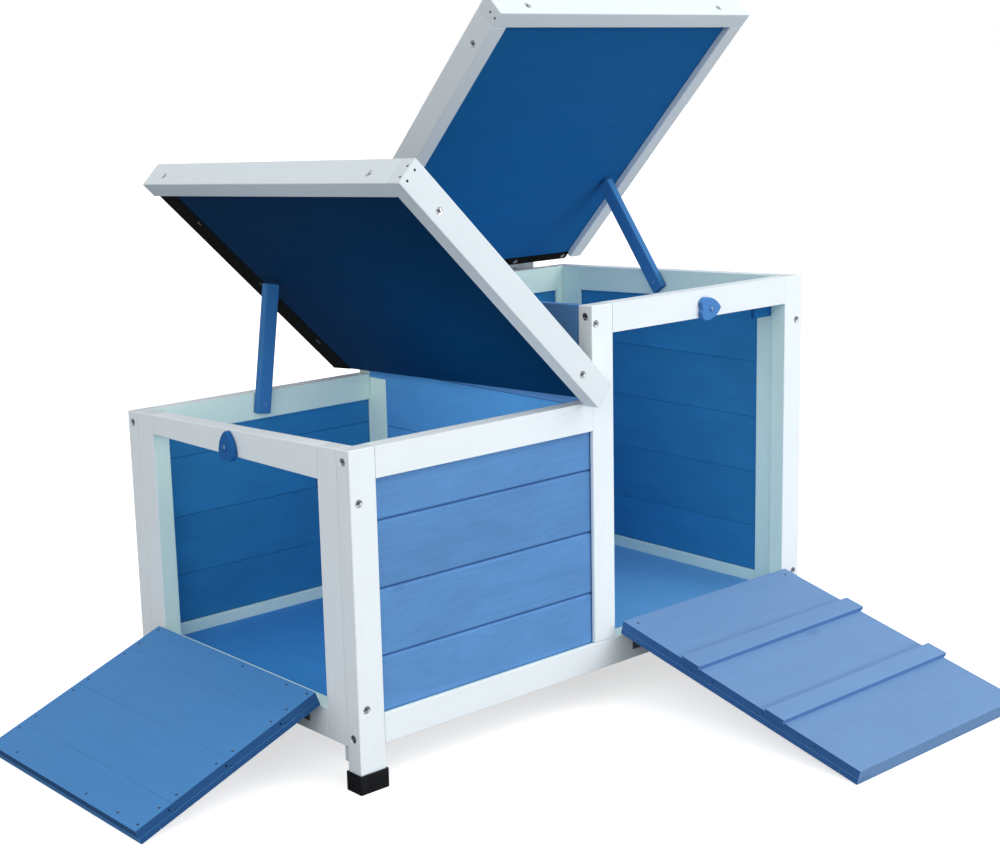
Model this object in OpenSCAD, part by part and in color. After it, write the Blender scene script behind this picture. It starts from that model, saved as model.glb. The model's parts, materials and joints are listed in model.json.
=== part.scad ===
// Rodent house with two lift-up roofs, prop sticks and two fold-down ramps.
// Millimetres. The origin is on the ground under the middle of the front left post.
// X runs along the front to the right, Y to the back, Z up.

/* [House] */
// Length of the house over its end posts
house_l = 601; // [560:1:680]
// Depth of the house over its front and back frames
house_d = 362; // [340:1:440]
// Height of the low half at the front
low_h = 307; // [295:1:330]
// Height of the tall half at the front
tall_h = 398; // [390:1:440]
// Fall of both roofs from the front face to the back face
roof_drop = 13.5; // [8:0.5:18]
// Left face of the middle posts, from the left end of the house
mid_x = 288; // [270:1:310]

/* [Frame stock] */
// Width of the frame stock
stock_w = 28; // [24:1:32]
// Thickness of the frame stock
stock_t = 18; // [16:0.5:20]
// Thickness of wall boards and roof panels
board_t = 9; // [8:0.5:10]
// Depth of the grooves that hold the boards
groove_d = 4; // [3:0.5:6]
// Underside of the bottom rails above the ground
rail_z = 40; // [34:1:44]
// Height of the black foot caps
cap_h = 18; // [12:1:24]
// Wall of the foot caps
cap_wall = 1.5; // [1:0.1:2]

/* [Boards] */
// Spacing of the joints between tongue and groove boards
board_pitch = 61; // [50:1:80]
// Height of the first joint above the bottom rail
first_joint = 50; // [30:1:60]
// Length of a tongue
tongue_l = 4; // [3:0.5:5]
// Chamfer beside each joint, on the boards' outer face
vee = 2; // [0.6:0.1:2.2]
// Gap left between two boards
board_gap = 0.3; // [0.2:0.05:0.4]
// Room past a tongue in its groove
tongue_room = 1.2; // [0.5:0.1:2]

/* [Roofs] */
// Gap between a closed roof panel and the top rails
roof_gap = 0.3; // [0.3:0.1:1]
// Gap between the closed tall roof panel and its top rails, which the turned felt takes up
tall_roof_gap = 1.8; // [1.8:0.1:2.5]
// Distance of a fascia's bottom edge below the panel's underside
fascia_drop = 6.5; // [4:0.5:8]
// Gap between the fascias and the house's faces
fascia_gap = 1.5; // [1:0.1:3]
// Overhang of the low roof past the house's left end, to the fascia's inner face
low_end_reach = 8; // [8:0.5:12]
// Overhang of the low roof past the house's back
low_back_reach = 29.5; // [20:0.5:40]
// Gap between the tall roof's left fascia and the tall wall
tall_left_gap = 7; // [5:0.5:10]
// Thickness of the roofing felt
felt_t = 1.5; // [1:0.1:2]
// Width of the felt turned under the low roof's back edge
felt_turn = 14; // [8:1:20]
// Width of the felt turned under the tall roof's back edge
tall_felt_turn = 8.5; // [4:0.5:10]
// Angle of the low roof above its closed place, propped up
low_open = 44.9; // [30:0.1:50]
// Angle of the tall roof above its closed place, propped up
tall_open = 44.2; // [30:0.1:50]

/* [Prop sticks] */
// Width of a prop stick
prop_w = 16; // [12:1:18]
// Thickness of a prop stick
prop_t = 8.7; // [7:0.1:10]
// Wood beyond the pivot screw at a stick's foot
prop_tail = 10; // [8:1:11]
// Low stick's pivot, from the left end of the house
low_prop_x = 144.5; // [144.5:0.5:160]
// Lean of the low stick to the right
low_prop_lean = 8; // [0:1:12]
// Tall stick's pivot, from the front face of the house
tall_prop_y = 188; // [180:1:190]
// Lean of the tall stick to the back
tall_prop_lean = 36; // [30:1:36]
// Gap between a stick's end and the open roof panel
prop_clear = 1.6; // [1:0.1:3]

/* [Ramps] */
// Thickness of the ramp boards
ramp_board_t = 8; // [7:0.5:9]
// Thickness of the battens under the ramp boards
batten_t = 6; // [5:0.5:8]
// Width of the battens
batten_w = 20; // [15:1:30]
// Gap at each side of a closed ramp
ramp_gap = 4; // [3.5:0.5:6]
// Length of the left ramp
left_ramp_l = 197.6; // [180:0.2:198]
// Length of the right ramp
right_ramp_l = 292.8; // [270:0.2:293]
// Width of a foot cleat
cleat_w = 22; // [15:1:30]
// Thickness of a foot cleat
cleat_t = 4.5; // [3:0.5:6]
// How far a cleat stands out past the ramp's sides
cleat_over = 3; // [0:0.5:3]
// Distance from the hinge end to the first cleat
cleat_start = 81; // [60:1:100]
// Spacing of the cleats
cleat_pitch = 104; // [60:1:120]
// Height of a ramp's far edge above the ground
ramp_clear = 0.3; // [0.2:0.1:1]

/* [Turn buttons] */
// Width of a heart across its lobes
heart_w = 23; // [20:0.5:24]
// Distance from a heart's screw to its point
heart_tip = 14.7; // [13:0.1:18]
// Thickness of a heart
heart_t = 5.7; // [4:0.1:5.8]
// Low heart's screw, from the front face of the house
low_heart_y = 179; // [120:1:240]
// Tall heart's screw, from the left end of the house
tall_heart_x = 450; // [380:1:520]

/* [Hinges] */
// Outer radius of a hinge knuckle
knuckle_r = 2.2; // [2:0.1:2.4]
// Radius of a hinge pin
pin_r = 1.2; // [1:0.1:1.3]
// Radial clearance between a pin and a turning bore
pin_play = 0.06; // [0.04:0.01:0.09]
// Thickness of a hinge leaf
leaf_t = 1.2; // [0.8:0.1:1.4]
// Length of a hinge along its pin
hinge_l = 50; // [36:1:60]
// Reach of a hinge leaf from the pin
leaf_w = 22; // [14:1:24]
// Gap between two knuckles
knuckle_gap = 0.3; // [0.2:0.1:0.6]
// Ramp hinge pin's distance out of the frame's face
ramp_pin_out = 2.5; // [2.4:0.1:4]
// Ramp hinge pin's height above the top of its rail
ramp_pin_up = 0.5; // [0.5:0.1:1]
// Tall roof's hinge pin behind the house's back face
tall_pin_back = 9; // [9:0.5:12]

/* [Screws] */
// Length of a frame screw
screw_l = 40; // [34:1:44]
// Radius of a screw's shank
screw_r = 1.75; // [1.5:0.05:2]
// Radius of a screw's head
head_r = 3.75; // [3:0.05:4]
// Depth of a countersunk head
head_d = 2.2; // [1.5:0.1:3]
// Radius of a pivot screw's round head
pivot_head_r = 2.6; // [2.5:0.1:3.5]
// Height of a pivot screw's round head
pan_h = 1.1; // [0.9:0.1:2]

/* [Hidden] */
$fn = 48;
eps = 0.01;
fit = 0.15;
slope = atan(roof_drop / house_d);
left_x = -stock_w / 2;
right_x = left_x + house_l;
front_y = -stock_t / 2;
back_y = front_y + house_d;
middle_x = left_x + mid_x;
rail_top = rail_z + stock_w;
side_y0 = front_y + stock_t;
side_y1 = back_y - stock_t;
door_y0 = side_y0 + stock_w;
door_y1 = side_y1 - stock_w;
floor_drop = 21;
floor_z = rail_top - floor_drop;
floor_top = floor_z + board_t;
ledger_w = 12;
cap_sole = 2;
least_board = 12;
lintel_extra = 1.6;

// Height of a roof line at depth y, for a half of front height h
function roof_z(h, y) = h - roof_drop * (y - front_y) / house_d;

// Roof hinge pins, in the plane of the closed panels' top faces
low_pin_x = middle_x - knuckle_r;
low_pin_z = low_h + (roof_gap + board_t) / cos(slope);
tall_pin_y = back_y + tall_pin_back;
tall_pin_z = roof_z(tall_h, tall_pin_y) + (tall_roof_gap + board_t) / cos(slope);

// Ramp hinge pins and the ramps' angles below level when they lie on the ground
ramp_pin_z = rail_top + ramp_pin_up;
slab_gap = 0.5;
slab_u0 = slab_gap;
slab_v0 = ramp_pin_out + slab_gap;
ramp_t = ramp_board_t + batten_t;
function ramp_dip(l) =
    asin((ramp_pin_z - ramp_clear) / norm([slab_u0 + l, slab_v0])) + atan(slab_v0 / (slab_u0 + l));
left_ramp_w = door_y1 - door_y0 - 2 * ramp_gap;
right_ramp_w = house_l - mid_x - 2 * stock_w - 2 * ramp_gap;
right_door_x = middle_x + stock_w;
left_lintel_z = roof_z(low_h, side_y0 + stock_w) - stock_w - lintel_extra;
tall_lintel_z = tall_h - stock_w;

// Prop pivots, and the sticks' length from pivot to tip: each stick ends below a panel whose hinge
// is run away and rise above the pivot, and which is turned up by open
low_prop_below = 11.5;
tall_prop_below = 13;
low_prop_z = roof_z(low_h, back_y) - low_prop_below;
tall_prop_z = roof_z(tall_h, front_y + tall_prop_y) - tall_prop_below;
prop_gap = 0.3;
function prop_reach(run, rise, open, lean) =
    (run * sin(open) + rise * cos(open) - board_t - prop_clear - prop_w / 2 * abs(sin(open - lean)))
    / cos(open - lean);
low_prop_l = prop_reach(low_pin_x - left_x - low_prop_x,
                        low_pin_z - (side_y1 - front_y) * tan(slope) - low_prop_z,
                        low_open, low_prop_lean);
tall_prop_l = prop_reach(tall_pin_y - front_y - tall_prop_y, tall_pin_z - tall_prop_z,
                         tall_open + slope, tall_prop_lean);

// Wall board panels, as [low corner, high corner]
wall_in = stock_t / 4;
panel_play = 1;
front_panel = [[left_x + stock_w - groove_d, front_y + wall_in, rail_top - groove_d],
               [middle_x + groove_d, front_y + wall_in + board_t, low_h - stock_w + groove_d - panel_play]];
back_panel_y = [back_y - wall_in - board_t, back_y - wall_in];
back_low_lintel = roof_z(low_h, back_y) - stock_w;
back_tall_lintel = roof_z(tall_h, back_y) - stock_w;
back_low_panel = [[left_x + stock_w - groove_d, back_panel_y[0], rail_top - groove_d],
                  [middle_x + groove_d, back_panel_y[1], back_low_lintel + groove_d]];
back_tall_panel = [[middle_x + stock_w - groove_d, back_panel_y[0], rail_top - groove_d],
                   [right_x - stock_w + groove_d, back_panel_y[1], back_tall_lintel + groove_d]];
right_panel = [[right_x - wall_in - board_t, door_y0 - groove_d, rail_top - groove_d],
               [right_x - wall_in, door_y1 + groove_d, tall_h]];

white = "#EAF4FC";
blue = "#4A80BE";
black = "#1E2230";
steel = "#B4B8BC";

// A box given by its low and high corners
module block(lo, hi) {
    translate(lo) cube(hi - lo);
}

// A box grown by c on every side
module space(panel, c) {
    block(panel[0] - [c, c, c], panel[1] + [c, c, c]);
}

// Everything below the roof line of a half whose front is h high
module under_roof(h) {
    far = 40;
    translate([left_x - far, 0, 0])
        rotate([90, 0, 90])
            linear_extrude(house_l + 2 * far)
                polygon([[front_y - far, -far], [back_y + far, -far],
                         [back_y + far, roof_z(h, back_y + far)],
                         [front_y - far, roof_z(h, front_y - far)]]);
}

// Section of one tongue and groove board from height a to b, across thickness t.
// Its chamfered outer face is at x = 0, or at x = t if outer_far is set.
eased = 0.2;
module board_section(t, a, b, has_groove, has_tongue, outer_far) {
    top = has_tongue ? b - board_gap : b;
    g0 = t / 3 - fit;
    g1 = 2 * t / 3 + fit;
    gtop = a + tongue_l + tongue_room;
    near = outer_far ? eased : vee;
    far = outer_far ? vee : eased;
    bottom_edge = has_groove
        ? [[0, a + near], [near, a], [g0, a], [g0, gtop], [g1, gtop], [g1, a], [t - far, a], [t, a + far]]
        : [[0, a], [t, a]];
    top_edge = has_tongue
        ? [[t, top - far], [t - far, top], [2 * t / 3, top], [2 * t / 3, top + tongue_l],
           [t / 3, top + tongue_l], [t / 3, top], [near, top], [0, top - near]]
        : [[t, top], [0, top]];
    polygon(concat(bottom_edge, top_edge));
}

// Boards that run along X, filling a panel from joint to joint
module boards_x(panel, t, outer_far) {
    z0 = panel[0][2];
    z1 = panel[1][2];
    start = rail_top + first_joint;
    joints = [for (z = [start : board_pitch : z1 - least_board]) z];
    edges = concat([z0], joints, [z1]);
    for (i = [0 : len(edges) - 2])
        translate([panel[0][0], panel[0][1], 0])
            rotate([90, 0, 90])
                linear_extrude(panel[1][0] - panel[0][0])
                    board_section(t, edges[i], edges[i + 1], i > 0, i < len(edges) - 2, outer_far);
}

// Boards that run along Y, filling a panel from joint to joint
module boards_y(panel, t, outer_far) {
    z0 = panel[0][2];
    z1 = panel[1][2];
    start = rail_top + first_joint;
    joints = [for (z = [start : board_pitch : z1 - least_board]) z];
    edges = concat([z0], joints, [z1]);
    for (i = [0 : len(edges) - 2])
        translate([panel[0][0], panel[1][1], 0])
            rotate([90, 0, 0])
                linear_extrude(panel[1][1] - panel[0][1])
                    board_section(t, edges[i], edges[i + 1], i > 0, i < len(edges) - 2, outer_far);
}

// Countersunk screw that enters at the origin and runs along +Z
module wood_screw(c = 0) {
    cylinder(h = head_d, r1 = head_r + c, r2 = screw_r + c);
    cylinder(h = screw_l + c, r = screw_r + c);
}

// A screw driven into a face at p along +X, -X, +Y or -Y
module screw_px(p, c = 0) { translate(p) rotate([0, 90, 0]) wood_screw(c); }
module screw_nx(p, c = 0) { translate(p) rotate([0, -90, 0]) wood_screw(c); }
module screw_py(p, c = 0) { translate(p) rotate([-90, 0, 0]) wood_screw(c); }
module screw_ny(p, c = 0) { translate(p) rotate([90, 0, 0]) wood_screw(c); }

// Heights of the screws that hold rails and stiles to the posts
rail_screw_z = rail_z + stock_w / 3;
stile_screw_low = rail_top + 8;
top_screw_below = 11;
stile_screw_below = 47;
back_screw_below = 60;
partition_screw_below = 17.5;
side_screw_y = front_y + stock_t / 2;
back_screw_y = back_y - stock_t / 2;
side_screw_x = left_x + stock_t / 2;
right_screw_x = right_x - stock_t / 2;
mid_screw_x = middle_x + board_t * 0.6;

module all_frame_screws(c = 0) {
    // through the front posts' side faces into the front rails
    screw_px([left_x, side_screw_y, low_h - top_screw_below], c);
    screw_px([left_x, side_screw_y, rail_screw_z], c);
    screw_px([middle_x, side_screw_y, tall_h - top_screw_below], c);
    screw_nx([right_x, side_screw_y, tall_h - top_screw_below], c);
    screw_nx([right_x, side_screw_y, rail_screw_z], c);
    // the same at the back
    screw_px([left_x, back_screw_y, roof_z(low_h, back_y) - top_screw_below], c);
    screw_px([left_x, back_screw_y, rail_screw_z], c);
    screw_nx([right_x, back_screw_y, roof_z(tall_h, back_y) - top_screw_below], c);
    screw_nx([right_x, back_screw_y, rail_screw_z], c);
    // through the front posts' faces into the end stiles and the partition
    screw_py([side_screw_x, front_y, low_h - stile_screw_below], c);
    screw_py([side_screw_x, front_y, stile_screw_low], c);
    screw_py([mid_screw_x, front_y, tall_h - partition_screw_below], c);
    screw_py([right_screw_x, front_y, tall_h - stile_screw_below], c);
    screw_py([right_screw_x, front_y, stile_screw_low], c);
    // through the back posts' faces
    screw_ny([side_screw_x, back_y, low_h - back_screw_below], c);
    screw_ny([side_screw_x, back_y, stile_screw_low], c);
    screw_ny([right_screw_x, back_y, tall_h - back_screw_below], c);
    screw_ny([right_screw_x, back_y, stile_screw_low], c);
}

// Right end panel, whose top edge follows the roof inside the top rail's groove
module right_panel_space(c) {
    intersection() {
        space(right_panel, c);
        translate([0, 0, groove_d - stock_w + c]) under_roof(tall_h);
    }
}

// Frame members are cut by the panels that they hold and by the screws
module framed() {
    difference() {
        children();
        space(front_panel, fit);
        space(back_low_panel, fit);
        space(back_tall_panel, fit);
        right_panel_space(fit);
        all_frame_screws(fit / 3);
        pivot_holes();
    }
}

// Posts

module post(x, y, z0, h) {
    color(white) framed() intersection() {
        block([x, y, z0], [x + stock_w, y + stock_t, tall_h + 1]);
        under_roof(h);
    }
}

module front_left_post() post(left_x, front_y, cap_sole, low_h);
module front_middle_post() post(middle_x, front_y, rail_top, tall_h);
module front_right_post() post(right_x - stock_w, front_y, cap_sole, tall_h);
module back_left_post() post(left_x, side_y1, cap_sole, low_h);
module back_middle_post() post(middle_x, side_y1, rail_top, tall_h);
module back_right_post() post(right_x - stock_w, side_y1, cap_sole, tall_h);

// Front and back rails

module rail_x(x0, x1, y, z0, h) {
    color(white) framed() intersection() {
        block([x0, y, z0], [x1, y + stock_t, max(z0 + stock_w, h)]);
        under_roof(h);
    }
}

module bottom_rail(y) {
    color(white) framed()
        block([left_x + stock_w, y, rail_z], [right_x - stock_w, y + stock_t, rail_top]);
}

module front_bottom_rail() bottom_rail(front_y);
module back_bottom_rail() bottom_rail(side_y1);
module front_low_top_rail() rail_x(left_x + stock_w, middle_x, front_y, low_h - stock_w, low_h);
module front_tall_top_rail() rail_x(right_door_x, right_x - stock_w, front_y, tall_lintel_z, tall_h);
module back_low_top_rail() rail_x(left_x + stock_w, middle_x, side_y1, back_low_lintel, low_h);
module back_tall_top_rail() rail_x(right_door_x, right_x - stock_w, side_y1, back_tall_lintel, tall_h);

// Wall boards

module front_boards() color(blue) boards_x(front_panel, board_t, false);
module back_low_boards() color(blue) boards_x(back_low_panel, board_t, true);
module back_tall_boards() color(blue) boards_x(back_tall_panel, board_t, true);
module right_end_boards() color(blue) intersection() {
    boards_y(right_panel, board_t, true);
    right_panel_space(0);
}

// End frames

module stile_pair(x, h, z0) {
    for (y = [side_y0, door_y1])
        intersection() {
            block([x, y, z0], [x + stock_t, y + stock_w, tall_h + 1]);
            under_roof(h);
        }
}

module left_end_stiles() color(white) framed() stile_pair(left_x, low_h, rail_z);

module left_end_rails() color(white) framed() {
    block([left_x, door_y0, rail_z], [left_x + stock_t, door_y1, rail_top]);
    intersection() {
        block([left_x, door_y0, left_lintel_z], [left_x + stock_t, door_y1, tall_h]);
        under_roof(low_h);
    }
}

module right_end_stiles() color(white) framed() stile_pair(right_x - stock_t, tall_h, rail_z);

module right_end_rails() color(white) framed() {
    block([right_x - stock_t, door_y0, rail_z], [right_x, door_y1, rail_top]);
    difference() {
        intersection() {
            block([right_x - stock_t, door_y0, rail_top + stock_w], [right_x, door_y1, tall_h]);
            under_roof(tall_h);
        }
        translate([0, 0, -stock_w]) under_roof(tall_h);
    }
}

// Partition between the cabins: boards flush with the left faces of the middle posts

partition_stile_below = 16;
partition_stile_top = roof_z(low_h, side_y0) - partition_stile_below;

module partition_bottom_rail() color(white)
    block([middle_x, side_y0, rail_z], [middle_x + stock_t, side_y1, rail_top]);

module partition_tongue(c) {
    block([middle_x + board_t / 3 - c, door_y0 - groove_d - c, rail_top - eps],
          [middle_x + 2 * board_t / 3 + c, door_y1 + groove_d + c, partition_stile_top + eps]);
}

module partition_stiles() color(white) difference() {
    for (y = [side_y0, door_y1])
        block([middle_x, y, rail_top], [middle_x + stock_t, y + stock_w, partition_stile_top]);
    partition_tongue(fit);
    all_frame_screws(fit / 3);
}

module partition_boards() color(blue) difference() {
    intersection() {
        boards_y([[middle_x, side_y0, rail_top], [middle_x + board_t, side_y1, tall_h]], board_t, true);
        under_roof(tall_h);
        union() {
            block([middle_x, door_y0, rail_top], [middle_x + board_t, door_y1, tall_h]);
            block([middle_x, side_y0, partition_stile_top], [middle_x + board_t, side_y1, tall_h]);
            partition_tongue(0);
        }
    }
    all_frame_screws(fit / 3);
}

// Floors and the ledgers under them

module floor_panel(x0, x1) {
    block([x0, side_y0, floor_z], [x1, side_y1, floor_top]);
}

module low_floor() color(blue) floor_panel(left_x + stock_t, middle_x);
module tall_floor() color(blue) floor_panel(middle_x + stock_t, right_x - stock_t);

module floor_ledgers() color(white)
    for (y = [side_y0, side_y1 - ledger_w], half = [[left_x + stock_t, middle_x],
                                                    [middle_x + stock_t, right_x - stock_t]])
        block([half[0], y, rail_z], [half[1], y + ledger_w, floor_z]);

// Feet

post_places = [[left_x, front_y], [right_x - stock_w, front_y],
               [left_x, side_y1], [right_x - stock_w, side_y1]];

module foot_caps() color(black)
    for (p = post_places)
        difference() {
            block([p[0] - cap_wall, p[1] - cap_wall, 0],
                  [p[0] + stock_w + cap_wall, p[1] + stock_t + cap_wall, cap_h]);
            block([p[0], p[1], cap_sole], [p[0] + stock_w, p[1] + stock_t, cap_h + 1]);
        }

// Blocks glued behind the feet, under the corners of the frame
module corner_blocks() color(white)
    for (x = [left_x + stock_w - stock_t, right_x - stock_w], y = [side_y0, side_y1 - stock_t])
        block([x, y, cap_h + 1], [x + stock_t, y + stock_t, rail_z]);

// Blocks that stop the closed ramps
stop_t = 5;
stop_below = 14.5;
module stop_blocks() color(blue) {
    block([right_x - 2 * stock_w, side_y0, tall_lintel_z - stop_below],
          [right_x - stock_w, side_y0 + stop_t, tall_lintel_z - stop_below + stock_w]);
    block([left_x + stock_t, door_y0, left_lintel_z - stop_below],
          [left_x + stock_t + stop_t, door_y0 + stock_w, left_lintel_z - stop_below + stock_w]);
}

// Screws

module frame_screws() color(steel) all_frame_screws();

low_heart_below = 0.8;
tall_heart_below = 19.2;
low_prop_pivot = [left_x + low_prop_x, side_y1, low_prop_z];
tall_prop_pivot = [right_x - stock_t, front_y + tall_prop_y, tall_prop_z];
low_heart_z = roof_z(low_h, front_y + low_heart_y) - heart_tip - low_heart_below;
tall_heart_z = tall_h - tall_heart_below;
low_heart_pivot = [left_x, front_y + low_heart_y, low_heart_z];
tall_heart_pivot = [left_x + tall_heart_x, front_y, tall_heart_z];
pivot_depth = 12;
head_gap = 0.2;

// Round head screw that holds a turning piece between z = 0 and z = reach
module pivot_screw(reach) {
    translate([0, 0, -pivot_depth]) cylinder(h = pivot_depth + reach + 2 * head_gap, r = screw_r);
    translate([0, 0, reach + head_gap]) cylinder(h = pan_h / 2, r = pivot_head_r);
    translate([0, 0, reach + head_gap + pan_h / 2])
        cylinder(h = pan_h / 2, r1 = pivot_head_r, r2 = pivot_head_r - pan_h / 2);
}

module at_low_prop() translate(low_prop_pivot) rotate([90, 0, 0]) children();
module at_tall_prop() translate(tall_prop_pivot) rotate([0, -90, 0]) children();
module at_low_heart() translate(low_heart_pivot) rotate([0, -90, 0]) children();
module at_tall_heart() translate(tall_heart_pivot) rotate([90, 0, 0]) children();

module pivot_screws() color(steel) {
    at_low_prop() pivot_screw(prop_gap + prop_t);
    at_tall_prop() pivot_screw(prop_gap + prop_t);
    at_low_heart() pivot_screw(prop_gap + heart_t);
    at_tall_heart() pivot_screw(prop_gap + heart_t);
}

module pivot_hole() {
    translate([0, 0, -pivot_depth]) cylinder(h = pivot_depth + 1, r = screw_r);
}

module pivot_holes() {
    at_low_prop() pivot_hole();
    at_tall_prop() pivot_hole();
    at_low_heart() pivot_hole();
    at_tall_heart() pivot_hole();
}

// Prop sticks

// Stick that points along +Y, flat on the XY plane, with its pivot at the origin
module stick(l) {
    difference() {
        translate([-prop_w / 2, -prop_tail, prop_gap]) cube([prop_w, prop_tail + l, prop_t]);
        translate([0, 0, -1]) cylinder(h = prop_t + 3, r = screw_r + pin_play);
    }
}

module low_prop() color(blue) at_low_prop() rotate([0, 0, -low_prop_lean]) stick(low_prop_l);
module tall_prop() color(blue)
    at_tall_prop() rotate([0, 0, tall_prop_lean - 90]) stick(tall_prop_l);

// Turn buttons

// Heart that points along +X with its screw at the origin.
// Each flank is an arc that leaves its lobe at the widest point and ends at the tip.
module heart_plate() {
    lobe_r = heart_w * 0.3;
    lobe_x = -heart_w * 0.27;
    reach = heart_tip - lobe_x;
    flank_y = (heart_w * heart_w / 4 - reach * reach) / heart_w;
    difference() {
        translate([0, 0, prop_gap]) linear_extrude(heart_t) {
            for (s = [-1, 1])
                translate([lobe_x, s * (heart_w / 2 - lobe_r)]) circle(r = lobe_r);
            intersection() {
                translate([lobe_x, flank_y]) circle(r = heart_w / 2 - flank_y, $fn = 96);
                translate([lobe_x, -flank_y]) circle(r = heart_w / 2 - flank_y, $fn = 96);
                translate([lobe_x, -heart_w]) square([reach, 2 * heart_w]);
            }
        }
        translate([0, 0, -1]) cylinder(h = heart_t + 3, r = screw_r + pin_play);
    }
}

module low_button() color(blue) at_low_heart() heart_plate();
module tall_button() color(blue) at_tall_heart() heart_plate();

// Hinges. The pin lies along Y at the origin, and a leaf reaches along Z at s = 1 or -1
// with its outer face at x = face.

knuckle_l = hinge_l / 3;
end_spans = [[-hinge_l / 2, -knuckle_l / 2 - knuckle_gap], [knuckle_l / 2 + knuckle_gap, hinge_l / 2]];
mid_spans = [[-knuckle_l / 2, knuckle_l / 2]];

module knuckles(spans) {
    for (p = spans)
        translate([0, p[1], 0]) rotate([90, 0, 0]) cylinder(h = p[1] - p[0], r = knuckle_r);
}

module leaf(face, s, reach, spans) {
    near = knuckle_r + knuckle_gap;
    z0 = s > 0 ? near : -reach;
    translate([face - leaf_t, -hinge_l / 2, z0]) cube([leaf_t, hinge_l, reach - near]);
    for (p = spans)
        translate([face - leaf_t, p[0], s > 0 ? 0 : -near - 1]) cube([leaf_t, p[1] - p[0], near + 1]);
}

module pin_bore() {
    rotate([90, 0, 0]) cylinder(h = hinge_l + 2, r = pin_r + pin_play, center = true);
}

module hinge_pin() {
    rotate([90, 0, 0]) cylinder(h = hinge_l, r = pin_r, center = true);
}

module fixed_leaf(face, s, reach) {
    knuckles(end_spans);
    leaf(face, s, reach, end_spans);
    hinge_pin();
}

module moving_leaf(face, s, reach) {
    difference() {
        union() {
            knuckles(mid_spans);
            leaf(face, s, reach, mid_spans);
        }
        pin_bore();
    }
}

// Fixed leaf of the tall roof: cranked from the pin down to the back rail's outer face
crank_top = 14.5;
crank_low = 19;
crank_bend = 0.7;
module cranked_leaf() {
    near = knuckle_r + knuckle_gap + crank_bend;
    h = leaf_t / 2;
    wall = -tall_pin_back;
    crank_end = crank_low + stock_w / 2;
    knuckles(end_spans);
    hinge_pin();
    for (p = end_spans)
        translate([-h, p[0], -near - 1]) cube([leaf_t, p[1] - p[0], near + 1]);
    translate([0, hinge_l / 2, 0]) rotate([90, 0, 0]) linear_extrude(hinge_l)
        polygon([[h, -near], [h, -crank_top], [wall + leaf_t, -crank_low], [wall + leaf_t, -crank_end],
                 [wall, -crank_end], [wall, crank_bend - crank_low], [-h, crank_bend - crank_top], [-h, -near]]);
}

// Roofs. A closed roof lies in its own frame with the hinge pin along Y at the origin,
// its panel's top face in the XY plane and its free edge towards -X.

module at_low_hinge() translate([low_pin_x, front_y, low_pin_z]) rotate([-slope, 0, 0]) children();
module at_tall_hinge()
    translate([middle_x + (right_x - middle_x) / 2, tall_pin_y, tall_pin_z]) rotate([-slope, 0, 0])
        rotate([0, 0, 90]) children();
module at_low_roof() at_low_hinge() rotate([0, low_open, 0]) children();
module at_tall_roof() at_tall_hinge() rotate([0, tall_open, 0]) children();

// Low roof, in its own frame: x from the free edge to the hinge, y from the front to the back
hinge_gap = 0.5;
fascia_past_pin = 0.7;
low_x0 = left_x - low_end_reach - low_pin_x;
low_x1 = -knuckle_r - hinge_gap;
low_y0 = -fascia_gap;
low_y1 = (house_d + low_back_reach) / cos(slope);
fascia_z0 = -board_t - fascia_drop;
fascia_z1 = fascia_z0 + stock_w;
low_hinge_ys = [house_d / 6, house_d * 5 / 6];

// Tall roof, in its own frame: x from the front to the hinge, y from the right to the left
tall_half = (right_x - middle_x) / 2;
tall_x0 = -(tall_pin_y - front_y + fascia_gap) / cos(slope);
tall_back_reach = 2.8;
tall_side_short = 2.9;
tall_x1 = -tall_pin_back + tall_back_reach;
tall_side_x1 = -tall_pin_back - tall_side_short;
tall_y0 = -tall_half - fascia_gap;
tall_y1 = tall_half + tall_left_gap;
tall_hinge_ys = [-tall_half * 0.58, tall_half * 0.58];
corner_screw = 30;

// Screws through the fascias into the panel's edges
module low_screws(c = 0) {
    for (x = [low_x0 + corner_screw, -1.2 * corner_screw])
        screw_py([x, low_y0 - stock_t, -board_t / 2], c);
    for (y = [corner_screw, low_y1 - corner_screw])
        screw_px([low_x0 - stock_t, y, -board_t / 2], c);
}

module tall_screws(c = 0) {
    for (y = [tall_y0 + 0.8 * corner_screw, tall_y1 - 0.8 * corner_screw])
        screw_px([tall_x0 - stock_t, y, -board_t / 2], c);
    for (x = [tall_x0 + corner_screw, tall_side_x1 - 1.3 * corner_screw]) {
        screw_py([x, tall_y0 - stock_t, -board_t / 2], c);
        screw_ny([x, tall_y1 + stock_t, -board_t / 2], c);
    }
}

module low_roof_screws() color(steel) at_low_roof() low_screws();
module tall_roof_screws() color(steel) at_tall_roof() tall_screws();

module low_roof_panel() color(blue) at_low_roof() difference() {
    block([low_x0, low_y0, -board_t], [low_x1, low_y1, 0]);
    low_screws(fit / 3);
}

module tall_roof_panel() color(blue) at_tall_roof() difference() {
    block([tall_x0, tall_y0, -board_t], [tall_x1, tall_y1, 0]);
    tall_screws(fit / 3);
}

// Hinge leaf on a closed roof panel
module roof_leaf() { rotate([0, -90, 0]) moving_leaf(leaf_t, 1, leaf_w); }

leaf_play = 0.3;
module leaf_notch() {
    block([-leaf_w - leaf_play, -hinge_l / 2 - leaf_play, -eps], [0, hinge_l / 2 + leaf_play, felt_t + 1]);
}

module low_roof_felt() color(black) at_low_roof() difference() {
    union() {
        block([low_x0, low_y0, 0], [low_x1, low_y1 + felt_t, felt_t]);
        block([low_x0, low_y1, -board_t - felt_t], [low_x1, low_y1 + felt_t, felt_t]);
        block([low_x0, low_y1 - felt_turn, -board_t - felt_t], [low_x1, low_y1, -board_t]);
    }
    for (y = low_hinge_ys) translate([0, y, 0]) leaf_notch();
}

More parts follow.
